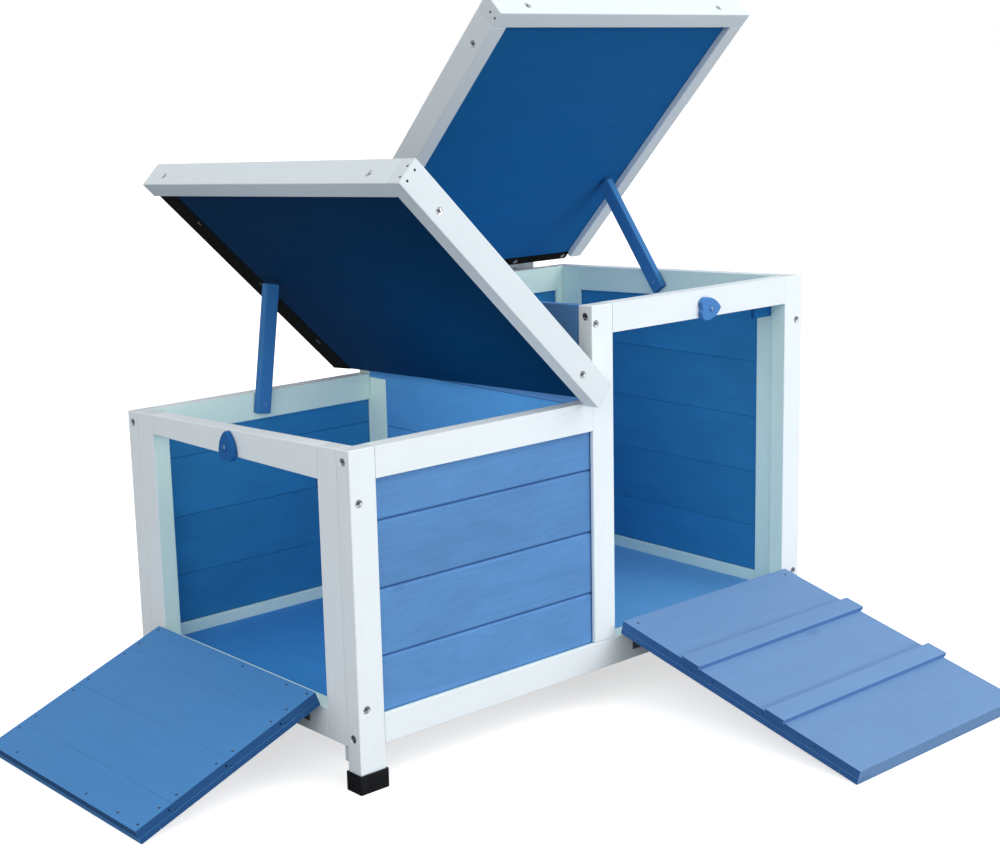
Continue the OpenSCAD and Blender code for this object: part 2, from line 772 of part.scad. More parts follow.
module tall_roof_felt() color(black) at_tall_roof() difference() {
    union() {
        block([tall_x0, tall_y0, 0], [tall_x1 + felt_t, tall_y1, felt_t]);
        block([tall_x1, tall_y0, -board_t - felt_t], [tall_x1 + felt_t, tall_y1, felt_t]);
        block([tall_x1 - tall_felt_turn, tall_y0, -board_t - felt_t], [tall_x1, tall_y1, -board_t]);
    }
    for (y = tall_hinge_ys) translate([0, y, 0]) leaf_notch();
}

module low_front_fascia() color(white) at_low_roof() difference() {
    block([low_x0 - stock_t, low_y0 - stock_t, fascia_z0], [fascia_past_pin, low_y0, fascia_z1]);
    low_screws(fit / 3);
}

module low_end_fascia() color(white) at_low_roof() difference() {
    block([low_x0 - stock_t, low_y0, fascia_z0], [low_x0, low_y1, fascia_z1]);
    low_screws(fit / 3);
}

module tall_front_fascia() color(white) at_tall_roof() difference() {
    block([tall_x0 - stock_t, tall_y0 - stock_t, fascia_z0], [tall_x0, tall_y1 + stock_t, fascia_z1]);
    tall_screws(fit / 3);
}

module tall_side_fascia(y0) {
    color(white) at_tall_roof() difference() {
        block([tall_x0, y0, fascia_z0], [tall_side_x1, y0 + stock_t, fascia_z1]);
        tall_screws(fit / 3);
    }
}

module tall_left_fascia() tall_side_fascia(tall_y1);
module tall_right_fascia() tall_side_fascia(tall_y0 - stock_t);

module low_roof_moving_hinges() color(steel)
    for (y = low_hinge_ys) at_low_roof() translate([0, y, 0]) roof_leaf();
module tall_roof_moving_hinges() color(steel)
    for (y = tall_hinge_ys) at_tall_roof() translate([0, y, 0]) roof_leaf();
module low_roof_fixed_hinges() color(steel)
    for (y = low_hinge_ys) at_low_hinge() translate([0, y, 0]) fixed_leaf(knuckle_r, 1, leaf_w);
module tall_roof_fixed_hinges() color(steel)
    for (y = tall_hinge_ys)
        translate([middle_x + tall_half, tall_pin_y, tall_pin_z]) rotate([0, 0, 90])
            translate([0, y, 0]) cranked_leaf();

// Ramps. A closed ramp stands in its own frame with the hinge pin along Y at the origin,
// X into the house and Z up.

module at_left_sill()
    translate([left_x - ramp_pin_out, (door_y0 + door_y1) / 2, ramp_pin_z]) children();
module at_right_sill()
    translate([(right_door_x + right_x - stock_w) / 2, front_y - ramp_pin_out, ramp_pin_z])
        rotate([0, 0, 90]) children();
module at_left_ramp() at_left_sill() rotate([0, -90 - ramp_dip(left_ramp_l), 0]) children();
module at_right_ramp() at_right_sill() rotate([0, -90 - ramp_dip(right_ramp_l), 0]) children();

boards_v = slab_v0 + batten_t;
slab_v1 = slab_v0 + ramp_t;
ramp_leaf_w = batten_w - 1;
hinge_share = 0.32;
left_hinge_ys = [-left_ramp_w * hinge_share, left_ramp_w * hinge_share];
right_hinge_ys = [-right_ramp_w * hinge_share, right_ramp_w * hinge_share];

// Tongue and groove boards laid across the ramp, with end boards of equal width
module ramp_boards(l, w) {
    count = floor(l / board_pitch);
    first = slab_u0 + (l - (count - 1) * board_pitch) / 2;
    edges = concat([slab_u0], [for (i = [0 : count - 1]) first + i * board_pitch], [slab_u0 + l]);
    for (i = [0 : len(edges) - 2])
        translate([boards_v, w / 2, 0]) rotate([90, 0, 0]) linear_extrude(w)
            board_section(ramp_board_t, edges[i], edges[i + 1], i > 0, i < len(edges) - 2, false);
}

// Battens round the edge of the ramp's underside
module ramp_battens(l, w) {
    u1 = slab_u0 + l;
    for (u = [slab_u0, u1 - batten_w])
        block([slab_v0, -w / 2, u], [boards_v, w / 2, u + batten_w]);
    for (y = [-w / 2, w / 2 - batten_w])
        block([slab_v0, y, slab_u0 + batten_w + board_gap], [boards_v, y + batten_w, u1 - batten_w - board_gap]);
}

module left_ramp_boards() color(blue) at_left_ramp() ramp_boards(left_ramp_l, left_ramp_w);
module left_ramp_battens() color(blue) at_left_ramp() ramp_battens(left_ramp_l, left_ramp_w);
module right_ramp_boards() color(blue) at_right_ramp() ramp_boards(right_ramp_l, right_ramp_w);
module right_ramp_battens() color(blue) at_right_ramp() ramp_battens(right_ramp_l, right_ramp_w);

// Cleats nailed across the right ramp to give the animal a foothold
module right_ramp_cleats() color(blue) at_right_ramp()
    for (i = [0, 1]) {
        u = slab_u0 + cleat_start + i * cleat_pitch;
        block([slab_v1, -right_ramp_w / 2 - cleat_over, u],
              [slab_v1 + cleat_t, right_ramp_w / 2 + cleat_over, u + cleat_w]);
    }

module left_ramp_moving_hinges() color(steel)
    for (y = left_hinge_ys) at_left_ramp() translate([0, y, 0]) moving_leaf(slab_v0, 1, ramp_leaf_w);
module right_ramp_moving_hinges() color(steel)
    for (y = right_hinge_ys) at_right_ramp() translate([0, y, 0]) moving_leaf(slab_v0, 1, ramp_leaf_w);
module left_ramp_fixed_hinges() color(steel)
    for (y = left_hinge_ys) at_left_sill() translate([0, y, 0]) fixed_leaf(ramp_pin_out, -1, ramp_leaf_w);
module right_ramp_fixed_hinges() color(steel)
    for (y = right_hinge_ys) at_right_sill() translate([0, y, 0]) fixed_leaf(ramp_pin_out, -1, ramp_leaf_w);

front_left_post();
front_middle_post();
front_right_post();
back_left_post();
back_middle_post();
back_right_post();
front_bottom_rail();
front_low_top_rail();
front_tall_top_rail();
back_bottom_rail();
back_low_top_rail();
back_tall_top_rail();
front_boards();
back_low_boards();
back_tall_boards();
left_end_stiles();
left_end_rails();
right_end_stiles();
right_end_rails();
right_end_boards();
partition_bottom_rail();
partition_stiles();
partition_boards();
low_floor();
tall_floor();
floor_ledgers();
corner_blocks();
foot_caps();
stop_blocks();
frame_screws();
pivot_screws();
low_roof_fixed_hinges();
tall_roof_fixed_hinges();
left_ramp_fixed_hinges();
right_ramp_fixed_hinges();
low_roof_panel();
low_roof_felt();
low_front_fascia();
low_end_fascia();
low_roof_moving_hinges();
low_roof_screws();
tall_roof_panel();
tall_roof_felt();
tall_front_fascia();
tall_left_fascia();
tall_right_fascia();
tall_roof_moving_hinges();
tall_roof_screws();
low_prop();
tall_prop();
left_ramp_boards();
left_ramp_battens();
left_ramp_moving_hinges();
right_ramp_boards();
right_ramp_battens();
right_ramp_cleats();
right_ramp_moving_hinges();
low_button();
tall_button();
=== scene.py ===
"""Looks of a two-roof rodent house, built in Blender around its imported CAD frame.

Every wooden member is a copy of its CAD node with softened arrises, so that it stays exactly where the
construction puts it. Screw recesses, nails, staples and hinge screws are modelled and set out on top.
Lengths in the dataclasses are millimetres; meshes are metres.
"""

import json
import logging
import math
import random
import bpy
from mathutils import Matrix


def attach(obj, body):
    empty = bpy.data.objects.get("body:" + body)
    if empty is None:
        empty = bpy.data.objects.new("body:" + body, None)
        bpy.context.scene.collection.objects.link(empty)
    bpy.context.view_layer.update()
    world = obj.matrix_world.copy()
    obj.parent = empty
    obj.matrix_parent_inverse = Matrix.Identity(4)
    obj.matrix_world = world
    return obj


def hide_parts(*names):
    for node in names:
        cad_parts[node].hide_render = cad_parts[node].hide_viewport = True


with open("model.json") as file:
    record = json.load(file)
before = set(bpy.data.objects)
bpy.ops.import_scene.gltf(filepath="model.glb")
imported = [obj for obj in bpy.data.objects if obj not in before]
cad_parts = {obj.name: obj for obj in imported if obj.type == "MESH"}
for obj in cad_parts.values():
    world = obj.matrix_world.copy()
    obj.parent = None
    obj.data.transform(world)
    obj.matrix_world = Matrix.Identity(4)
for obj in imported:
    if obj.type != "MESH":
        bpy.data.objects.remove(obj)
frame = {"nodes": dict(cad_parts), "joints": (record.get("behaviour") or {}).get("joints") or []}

import zlib
from dataclasses import dataclass, replace
from enum import Enum
from functools import cache, partial
from typing import Any, Callable, Iterable, Sequence

import bmesh
import bpy
from mathutils import Matrix, Vector

Tree = bpy.types.NodeTree
Piece = bpy.types.Object
Mesh = bmesh.types.BMesh
Face = bmesh.types.BMFace
Triple = tuple[float, float, float]

LOG = logging.getLogger("rodent_house")
MM = 0.001
X, Y, Z = Vector((1, 0, 0)), Vector((0, 1, 0)), Vector((0, 0, 1))
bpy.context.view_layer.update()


# Colours and nodes


def to_linear(code: str) -> tuple[float, float, float, float]:
    """Turn an sRGB hex colour into the linear colour that a shader takes.

    Args:
        code: Colour as "#RRGGBB".

    Returns:
        Linear red, green, blue and an alpha of 1.
    """
    parts = [int(code[i : i + 2], 16) / 255 for i in (1, 3, 5)]
    linear = [c / 12.92 if c <= 0.04045 else ((c + 0.055) / 1.055) ** 2.4 for c in parts]
    return (*linear, 1.0)


def add_node(tree: Tree, kind: str, inputs: dict | Sequence = (), **settings: Any) -> Any:
    """Add a shader node with its settings and links.

    Args:
        tree: Node tree that takes the node.
        kind: The node's type without the word ShaderNode.
        inputs: Values or sockets, in the order of the inputs or under their names or numbers.
        **settings: Attributes of the node.

    Returns:
        Its output sockets.
    """
    node = tree.nodes.new(f"ShaderNode{kind}")
    for key, value in settings.items():
        setattr(node, key, value)
    for key, value in inputs.items() if isinstance(inputs, dict) else enumerate(inputs):
        if isinstance(value, bpy.types.NodeSocket):
            tree.links.new(value, node.inputs[key])
        else:
            node.inputs[key].default_value = value
    return node.outputs


def lay_pattern(tree: Tree, kind: str, place: Any, sizes: float | Triple, detail: float) -> Any:
    """Lay a texture at its real size.

    Args:
        tree: Node tree that takes the texture.
        kind: The texture's type, such as TexNoise.
        place: Socket with the place in metres.
        sizes: Size of one patch in millimetres, all round or along each axis.
        detail: Octaves of finer pattern.

    Returns:
        Its output sockets.
    """
    spans = sizes if isinstance(sizes, tuple) else (sizes,) * 3
    scale = tuple(1 / (span * MM) for span in spans)
    spot = add_node(tree, "Mapping", {"Vector": place, "Scale": scale})[0]
    return add_node(tree, kind, {"Vector": spot, "Scale": 1.0, "Detail": detail})


MIX_FACTOR, MIX_A, MIX_B, MIX_RESULT = 0, 6, 7, 2


def lay_coats(tree: Tree, ground: str, *coats: tuple[Any, Any, str]) -> Any:
    """Lay paints, stains and shades over a ground colour.

    Args:
        tree: Node tree that takes the coats.
        ground: Ground colour as a hex code.
        *coats: Each coat's share, its colour as a hex code or a socket, and its blend type.

    Returns:
        Socket of the finished colour.
    """
    colour = to_linear(ground)
    for share, coat, blend in coats:
        coat = to_linear(coat) if isinstance(coat, str) else coat
        inputs = {MIX_FACTOR: share, MIX_A: colour, MIX_B: coat}
        colour = add_node(tree, "Mix", inputs, data_type="RGBA", blend_type=blend)[MIX_RESULT]
    return colour


def close_surface(tree: Tree, colour: Any, rough: Any, relief: tuple[Any, float, float], gloss: dict) -> None:
    """Finish a material with its relief, its shader and its output.

    Args:
        tree: The material's node tree.
        colour: Socket of the colour.
        rough: Roughness, as a socket or a number.
        relief: Socket of the height, then the relief's strength and its depth in millimetres.
        gloss: The shader's inputs that are the same all over.
    """
    height, strength, depth = relief
    bump = add_node(tree, "Bump", {"Height": height, "Strength": strength, "Distance": depth * MM})[0]
    inputs = {"Base Color": colour, "Roughness": rough, "Normal": bump, **gloss}
    add_node(tree, "OutputMaterial", add_node(tree, "BsdfPrincipled", inputs))


# Finishes

TIMBER_PLACE = "timber_place"
TIMBER_MARKS = "timber_marks"
TIMBER_TONE = "timber_tone"


@dataclass(frozen=True)
class PaintedPine:
    """Planed pine under one thin brushed coat, which lets growth lines and knots show through.

    The eye gets a soft satin colour that differs a little from board to board, faint dark growth lines
    along the grain, an odd knot, thinner paint on the arrises, which also paints the highlight they
    catch, and darker, drier end grain. Faces inside the cabins take a colour of painted light and shade,
    and crevices take painted shade.
    """

    name: str
    paint: str
    line: str
    arris: str
    end: str
    # Painted cabin light and shade: a mint bounce tint on white, deeper or lighter blues inside.
    cabin_light_and_shade: str
    grain: float = 0.16
    knots: float = 0.35
    tone: float = 0.1
    roughness: float = 0.6
    gloss: float = 0.22
    ring_gap: float = 7.0
    ring_sway: float = 11.0
    knot_push: float = 2.5
    knot_share: float = 0.26
    streak: Triple = (130.0, 1.8, 1.8)
    figure: Triple = (260.0, 38.0, 38.0)
    knot_cell: Triple = (120.0, 52.0, 52.0)
    strokes: float = 0.05
    stroke: Triple = (36.0, 1.4, 1.4)
    blotch: Triple = (55.0, 26.0, 26.0)
    dry_end: float = 0.85
    # Painted shade in crevices, joints and corners: its strength, then its reach in millimetres.
    crevice: float = 0.75
    crevice_reach: float = 3.0

    def lay(self, tree: Tree) -> None:
        """Lay the nodes of the paint, which reads the timber attributes.

        Args:
            tree: The material's empty node tree.
        """
        node = partial(add_node, tree)
        place = node("Attribute", attribute_name=TIMBER_PLACE)["Vector"]
        marks = node("Attribute", attribute_name=TIMBER_MARKS)["Vector"]
        tone = node("Attribute", attribute_name=TIMBER_TONE)["Fac"]
        arris, end, inside = node("SeparateXYZ", (marks,))
        # Painted shade: ambient occlusion darkens the paint in crevices, joints and corners, less so inside
        # the cabins.
        open_sky = node("AmbientOcclusion", {"Distance": self.crevice_reach * MM}, samples=6)["AO"]
        sizes = ((self.streak, 3.0), (self.stroke, 2.0), (self.blotch, 4.0))
        streak, stroke, blotch = (lay_pattern(tree, "TexNoise", place, *size)[0] for size in sizes)
        knot, rings = self.lay_figure(tree, place)
        half = self.tone / 2
        spans = {
            "shade": (tone, 0.0, 1.0, 1 - half, 1 + half),
            "mottle": (blotch, 0.3, 0.7, 1 - half, 1 + half),
            "lines": (streak, 0.35, 0.65, 0.35 * self.grain, self.grain),
            "drag": (stroke, 0.55, 0.75, 0.0, self.strokes),
            # Thinner paint on the arrises, partly wear and partly a painted highlight.
            "arris_wear_and_highlight": (streak, 0.42, 0.6, 0.25, 0.9),
            "crevice_shade": (open_sky, 0.35, 0.9, self.crevice, 0.0),
            "outside": (inside, 0.0, 1.0, 1.0, 0.25),
            "rough": (streak, 0.3, 0.7, self.roughness - 0.06, self.roughness + 0.08),
        }
        share = {name: node("MapRange", span)[0] for name, span in spans.items()}
        pairs = {
            "tint": (share["shade"], share["mottle"]),
            "lines": (share["lines"], rings),
            "arris_wear_and_highlight": (share["arris_wear_and_highlight"], arris),
            "end": (end, self.dry_end),
            "crevice_shade": (share["crevice_shade"], share["outside"]),
        }
        mask = {name: node("Math", pair, operation="MULTIPLY")[0] for name, pair in pairs.items()}
        colour = lay_coats(
            tree,
            self.paint,
            # Painted light and shade on the faces inside the cabins.
            (inside, self.cabin_light_and_shade, "MIX"),
            (1.0, node("CombineXYZ", (mask["tint"],) * 3)[0], "MULTIPLY"),
            (mask["lines"], self.line, "MIX"),
            (share["drag"], self.line, "MIX"),
            (knot, self.line, "MIX"),
            # Thinner paint on the arrises, which also paints the highlight they catch.
            (mask["arris_wear_and_highlight"], self.arris, "MIX"),
            (mask["end"], self.end, "MIX"),
            # Painted shade in the crevices.
            (mask["crevice_shade"], self.line, "MULTIPLY"),
        )
        height = node("Math", (rings, -0.5, streak), operation="MULTIPLY_ADD")[0]
        gloss = {"IOR": 1.45, "Specular IOR Level": self.gloss}
        close_surface(tree, colour, share["rough"], (height, 0.3, 0.08), gloss)

    def lay_figure(self, tree: Tree, place: Any) -> tuple[Any, Any]:
        """Draw the growth lines of a flat-sawn board, which bend round a knot in about one cell of four.

        Args:
            tree: The material's node tree.
            place: Socket with the timber place.

        Returns:
            Sockets that are high on a knot and on a growth line.
        """
        node = partial(add_node, tree)
        cells = lay_pattern(tree, "TexVoronoi", place, self.knot_cell, 0.0)
        chance = node("SeparateXYZ", (cells["Color"],))[0]
        has_knot = node("Math", (chance, 1 - self.knot_share), operation="GREATER_THAN")[0]
        core = node("MapRange", (cells["Distance"], 0.05, 0.12, self.knots, 0.0))[0]
        near = node("MapRange", (cells["Distance"], 0.05, 0.5, 1.0, 0.0))[0]
        bend = node("Math", (near, 2.0), operation="POWER")[0]
        knot, push = (node("Math", (part, has_knot), operation="MULTIPLY")[0] for part in (core, bend))

        across = node("SeparateXYZ", (place,))[1]
        figure = lay_pattern(tree, "TexNoise", place, self.figure, 1.0)[0]
        turns = node("Math", (across, self.ring_gap * MM), operation="DIVIDE")[0]
        for value, weight in ((figure, self.ring_sway), (push, self.knot_push)):
            turns = node("Math", (value, weight, turns), operation="MULTIPLY_ADD")[0]
        angle = node("Math", (turns, math.tau), operation="MULTIPLY")[0]
        wave = node("Math", (angle,), operation="SINE")[0]
        return knot, node("MapRange", (wave, 0.15))[0]


@dataclass(frozen=True)
class MineralFelt:
    """Bitumen roofing felt pressed with fine slate grit: matt, near black, with a dry sparkle of grains."""

    name: str = "mineral_roofing_felt"
    bitumen: str = "#060709"
    grit: str = "#1B1D21"
    grain: float = 1.6
    drift: float = 60.0

    def lay(self, tree: Tree) -> None:
        """Lay the felt's nodes. The grit is 0.8 mm in fact, and is drawn twice as coarse so that it shows.

        Args:
            tree: The material's empty node tree.
        """
        node = partial(add_node, tree)
        place = node("TexCoord")["Object"]
        grains = lay_pattern(tree, "TexVoronoi", place, self.grain, 0.0)
        drift = lay_pattern(tree, "TexNoise", place, self.drift, 4.0)[0]
        chance = node("SeparateXYZ", (grains["Color"],))[0]
        spans = (
            (chance, 0.55, 1.0, 0.0, 0.8),
            (drift, 0.3, 0.7, 0.5, 1.0),
            (grains["Distance"], 0.0, 0.8, 1.0, 0.0),
        )
        bright, thick, height = (node("MapRange", span)[0] for span in spans)
        amount = node("Math", (bright, thick), operation="MULTIPLY")[0]
        colour = lay_coats(tree, self.bitumen, (amount, self.grit, "MIX"))
        close_surface(tree, colour, 0.9, (height, 0.6, 0.4), {"IOR": 1.5, "Specular IOR Level": 0.15})


@dataclass(frozen=True)
class PlatedSteel:
    """Zinc-plated mild steel: pale blue-grey metal with a soft cloudy plate and slightly dull spots.

    Its nodes lay one tone over another in clouds of a real size, which also change the sheen, so the
    other finishes of that kind are made from it.
    """

    name: str
    main: str
    second: str
    roughness: float = 0.34
    cloud: float | Triple = 6.0
    detail: float = 4.0
    spread: tuple[float, ...] = (0.35, 0.7, 0.0, 1.0)
    sheen: tuple[float, ...] = (0.3, 0.7, -0.08, 0.16)
    texture: float = 0.0
    relief: float = 0.1
    gloss: tuple[tuple[str, float], ...] = (("Metallic", 1.0),)

    def lay(self, tree: Tree) -> None:
        """Lay the nodes of the two tones, the sheen and the relief.

        Args:
            tree: The material's empty node tree.
        """
        place = add_node(tree, "TexCoord")["Object"]
        cloud = lay_pattern(tree, "TexNoise", place, self.cloud, self.detail)[0]
        height = lay_pattern(tree, "TexNoise", place, self.texture, 2.0)[0] if self.texture else cloud
        mask = add_node(tree, "MapRange", (cloud, *self.spread))[0]
        colour = lay_coats(tree, self.main, (mask, self.second, "MIX"))
        low, high, less, more = self.sheen
        span = (cloud, low, high, self.roughness + less, self.roughness + more)
        rough = add_node(tree, "MapRange", span)[0]
        close_surface(tree, colour, rough, (height, self.relief, 0.1), dict(self.gloss))


@dataclass(frozen=True)
class PaintedSteel(PlatedSteel):
    """Screw heads brushed over with the wood's paint: satin blue, with bare zinc where the coat is thin."""

    roughness: float = 0.5
    cloud: float | Triple = 2.2
    detail: float = 3.0
    spread: tuple[float, ...] = (0.56, 0.66, 0.0, 0.8)
    sheen: tuple[float, ...] = (0.3, 0.7, -0.1, 0.1)
    relief: float = 0.3
    gloss: tuple[tuple[str, float], ...] = (("IOR", 1.45), ("Specular IOR Level", 0.3))


@dataclass(frozen=True)
class MouldedPlastic(PlatedSteel):
    """Injection-moulded polypropylene: even colour, a dull sheen, and a fine spark-eroded texture.

    The texture is 0.2 mm in fact and is drawn coarser so that it shows.
    """

    roughness: float = 0.42
    cloud: float | Triple = (14.0, 14.0, 5.0)
    detail: float = 5.0
    spread: tuple[float, ...] = (0.5, 0.75, 0.0, 0.7)
    sheen: tuple[float, ...] = (0.35, 0.65, -0.05, 0.12)
    texture: float = 0.9
    relief: float = 0.25
    gloss: tuple[tuple[str, float], ...] = (("IOR", 1.49), ("Specular IOR Level", 0.25))


class Finish(Enum):
    """Named finishes of the house."""

    WHITE = PaintedPine(
        "white_brushed_pine", "#F0F9FE", "#BCC8CE", "#F6FAFD", "#DEE7EC", "#E3FBF1",
        grain=0.045, knots=0.08, tone=0.02
    )
    # Painted shade: a darker copy of the white paint, for the dimmer light on the roofs' fascias.
    SHADED_WHITE_FASCIA = PaintedPine(
        "white_brushed_pine_fascias_painted_shade", "#E1EBF1", "#B2BFC6", "#EDF4F8", "#DCE6EC", "#D2EDE8",
        grain=0.03, knots=0.08, tone=0.02, crevice=0.12
    )
    WALL_BLUE = PaintedPine(
        "blue_brushed_pine_walls", "#5E92CC", "#2B5C98", "#8FB6E0", "#2F5F98", "#3082B8",
        grain=0.1, strokes=0.12, knots=0.45, tone=0.13, crevice=0.7, crevice_reach=2.4
    )
    # Painted light: the wall paint with a brighter inside colour, which lifts the partition out of the low
    # roof's shadow.
    PARTITION_LIT_BLUE = PaintedPine(
        "blue_brushed_pine_partition_painted_light", "#5E92CC", "#2F62A0", "#8FB6E0", "#2F5F98", "#559CDB",
        grain=0.06, strokes=0.1, crevice=0.7, crevice_reach=2.4
    )
    # Painted shade: a darker copy of the blue paint for the roof undersides, which face into shade.
    SHADED_ROOF_BLUE = PaintedPine(
        "blue_brushed_pine_roof_undersides_painted_shade", "#1965A3", "#124880", "#3E78B4", "#17436F", "#1965A3",
        grain=0.04, strokes=0.05, knots=0.2, tone=0.06, gloss=0.08, crevice=0.3
    )
    # Painted shade: a much darker copy of the blue paint for the low roof's underside, which faces down into
    # deep shade.
    SHADED_LOW_ROOF_BLUE = PaintedPine(
        "blue_brushed_pine_low_roof_underside_painted_shade", "#05355C", "#042646", "#1B4A80", "#082642", "#05355C",
        grain=0.04, strokes=0.05, knots=0.2, tone=0.06, gloss=0.04, crevice=0.3
    )
    # Painted light and shade: lit and shaded copies of one ramp paint; the darker for the left ramp and the
    # low floor.
    LEFT_RAMP_SHADED_BLUE = PaintedPine(
        "blue_brushed_pine_left_ramp_painted_shade", "#4785C2", "#3067A1", "#76ABE0", "#154479", "#3F8ED3",
        grain=0.05, knots=0.15, tone=0.05, crevice=0.0
    )
    # The lighter, lit copy for the right ramp and the tall floor.
    RIGHT_RAMP_LIT_BLUE = PaintedPine(
        "blue_brushed_pine_right_ramp_painted_light", "#7096C4", "#4571A3", "#9ABCE4", "#1F5C9E", "#68ACE2",
        grain=0.04, tone=0.05, crevice=0.0
    )
    STICK_BLUE = PaintedPine(
        "blue_brushed_pine_sticks", "#3A7AB6", "#27588F", "#5C97CC", "#235288", "#3A7AB6",
        grain=0.05, knots=0.0, tone=0.04
    )
    # Painted shade: a darker copy of the hearts' paint for the low heart, which faces away from the light.
    LOW_HEART_SHADED_BLUE = PaintedPine(
        "blue_brushed_plywood_low_heart_painted_shade", "#1C66AA", "#184F87", "#4F8FCB", "#184F87", "#1C66AA",
        grain=0.05, knots=0.0, tone=0.03
    )
    TALL_HEART_BLUE = PaintedPine(
        "blue_brushed_plywood_tall_heart", "#4B88CB", "#2E659F", "#7FADE0", "#2F66A5", "#4B88CB",
        grain=0.05, knots=0.0, tone=0.03
    )
    FELT = MineralFelt()
    CAP = MouldedPlastic("moulded_polypropylene_caps", "#0C0E12", "#1C1F25")
    SCREW = PlatedSteel("zinc_plated_screws", "#D0D4D9", "#999FA6")
    # Painted shade: a dark copy of the zinc for the hollow of each cross recess.
    RECESS_SHADE = PlatedSteel("zinc_recesses_painted_shade", "#55595F", "#2C2F34", 0.5)
    HINGE = PlatedSteel("zinc_plated_hinges", "#BEC4CA", "#A2A8AF", 0.3, 9.0)
    PAINTED_SCREW = PaintedSteel("brush_painted_screws", "#3F7FC0", "#9FB4C8")
    # Dark dull steel heads set level with the paint; the dark colour also paints the shade of punched nail
    # holes.
    NAIL = PlatedSteel("dull_steel_nails", "#4A4F56", "#24282E", 0.55, 3.0)
    STAPLE = PlatedSteel("bright_staples", "#D8D9DA", "#A9ADB2", 0.25, 3.0)


def add_object(name: str, data: Any, at: Matrix | None = None) -> Piece:
    """Put a mesh, a lamp or a camera into the scene.

    Args:
        name: Name of the object.
        data: What the object holds.
        at: Where it stands and how it is turned, or nothing for the origin.

    Returns:
        The new object.
    """
    made = bpy.data.objects.new(name, data)
    made.matrix_world = at or Matrix()
    bpy.context.scene.collection.objects.link(made)
    return made


def new_material(name: str) -> tuple[bpy.types.Material, Tree]:
    """Start a node material with an empty tree.

    Args:
        name: Name of the finish.

    Returns:
        The material and its node tree.
    """
    material = bpy.data.materials.new(name)
    material.use_nodes = True
    material.node_tree.nodes.clear()
    return material, material.node_tree


@cache
def material_of(finish: Finish) -> bpy.types.Material:
    """Return a finish's material, which is built at its first use.

    Args:
        finish: The finish wanted.

    Returns:
        Its material.
    """
    material, tree = new_material(finish.value.name)
    finish.value.lay(tree)
    return material


# Meshes

MERGED = 0.002 * MM
FLAT = math.radians(1)
SHARP = math.radians(50)
ARRIS = math.radians(35)
PANEL_RIM = 0.3 * MM
SQUARE_ON = 0.95


def finish_piece(bm: Mesh, name: str, finishes: Sequence[Finish], body: str, slot: str, *nodes: str) -> Piece:
    """Turn a bmesh into a piece with smooth faces and sharp hard edges, and tie it to its body.

    Args:
        bm: The mesh, which is freed.
        name: Name of the piece.
        finishes: Its finishes, in the order of its faces' material indices.
        body: CAD body that it rides on.
        slot: Name of a record slot; not used.
        *nodes: CAD nodes that it stands for.

    Returns:
        The new piece, at the origin.
    """
    mesh = bpy.data.meshes.new(name)
    for face in bm.faces:
        face.smooth = True
    bm.to_mesh(mesh)
    bm.free()
    mesh.set_sharp_from_angle(angle=SHARP)
    for finish in finishes:
        mesh.materials.append(material_of(finish))
    piece = add_object(name, mesh)
    weighted = piece.modifiers.new("flat_faces", "WEIGHTED_NORMAL")
    weighted.keep_sharp = True
    weighted.weight = 100
    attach(piece, body)
    if nodes:
        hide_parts(*nodes)
    LOG.info("%s: rides on %s, %d faces", name, body, len(mesh.polygons))
    return piece


def merged_copy(node: str) -> Mesh:
    """Copy a CAD node's loose triangles into one merged mesh with whole flat faces.

    Args:
        node: Name of the CAD node.

    Returns:
        The merged copy.
    """
    bm = bmesh.new()
    bm.from_mesh(frame["nodes"][node].data)
    bmesh.ops.remove_doubles(bm, verts=bm.verts, dist=MERGED)
    bmesh.ops.dissolve_limit(bm, angle_limit=FLAT, verts=bm.verts, edges=bm.edges)
    return bm


def soften(bm: Mesh, radius: float, shortest: float, joints: Vector | None = None) -> set[Face]:
    """Round the outward arrises of a merged mesh.

    Args:
        bm: The mesh.
        radius: Size of the rounding in millimetres.
        shortest: Edges shorter than this stay sharp, such as the rims of screw holes, in millimetres.
        joints: Direction across a panel's joints, which then stay tight, or nothing.

    Returns:
        The faces of the rounded arrises.
    """
    arrises = [
        edge
        for edge in bm.edges
        if len(edge.link_faces) == 2
        and edge.is_convex
        and edge.calc_face_angle(0.0) > ARRIS
        and edge.calc_length() > shortest * MM
    ]
    if joints:
        reach = [vert.co.dot(joints) for vert in bm.verts]
        low, high = min(reach) + PANEL_RIM, max(reach) - PANEL_RIM
        middles = [(edge, (edge.verts[0].co + edge.verts[1].co).dot(joints) / 2) for edge in arrises]
        arrises = [edge for edge, middle in middles if not low < middle < high]
    made = bmesh.ops.bevel(
        bm,
        geom=arrises,
        offset=radius * MM,
        offset_type="OFFSET",
        affect="EDGES",
        segments=2,
        profile=0.5,
        material=-1,
        clamp_overlap=True,
    )
    return set(made["faces"])


def islands(bm: Mesh) -> list[list[bmesh.types.BMVert]]:
    """Split a mesh's vertices into its separate solids.

    Args:
        bm: The mesh.

    Returns:
        One list of vertices for each solid, in an order that is the same in every run.
    """
    bm.verts.index_update()
    left = set(bm.verts)
    groups = []
    while left:
        todo = [left.pop()]
        group = []
        while todo:
            vert = todo.pop()
            group.append(vert)
            for edge in vert.link_edges:
                other = edge.other_vert(vert)
                if other in left:
                    left.remove(other)
                    todo.append(other)
        groups.append(sorted(group, key=lambda vert: vert.index))
    return sorted(groups, key=lambda g: tuple(round(c, 4) for c in sum((v.co for v in g), Vector()) / len(g)))


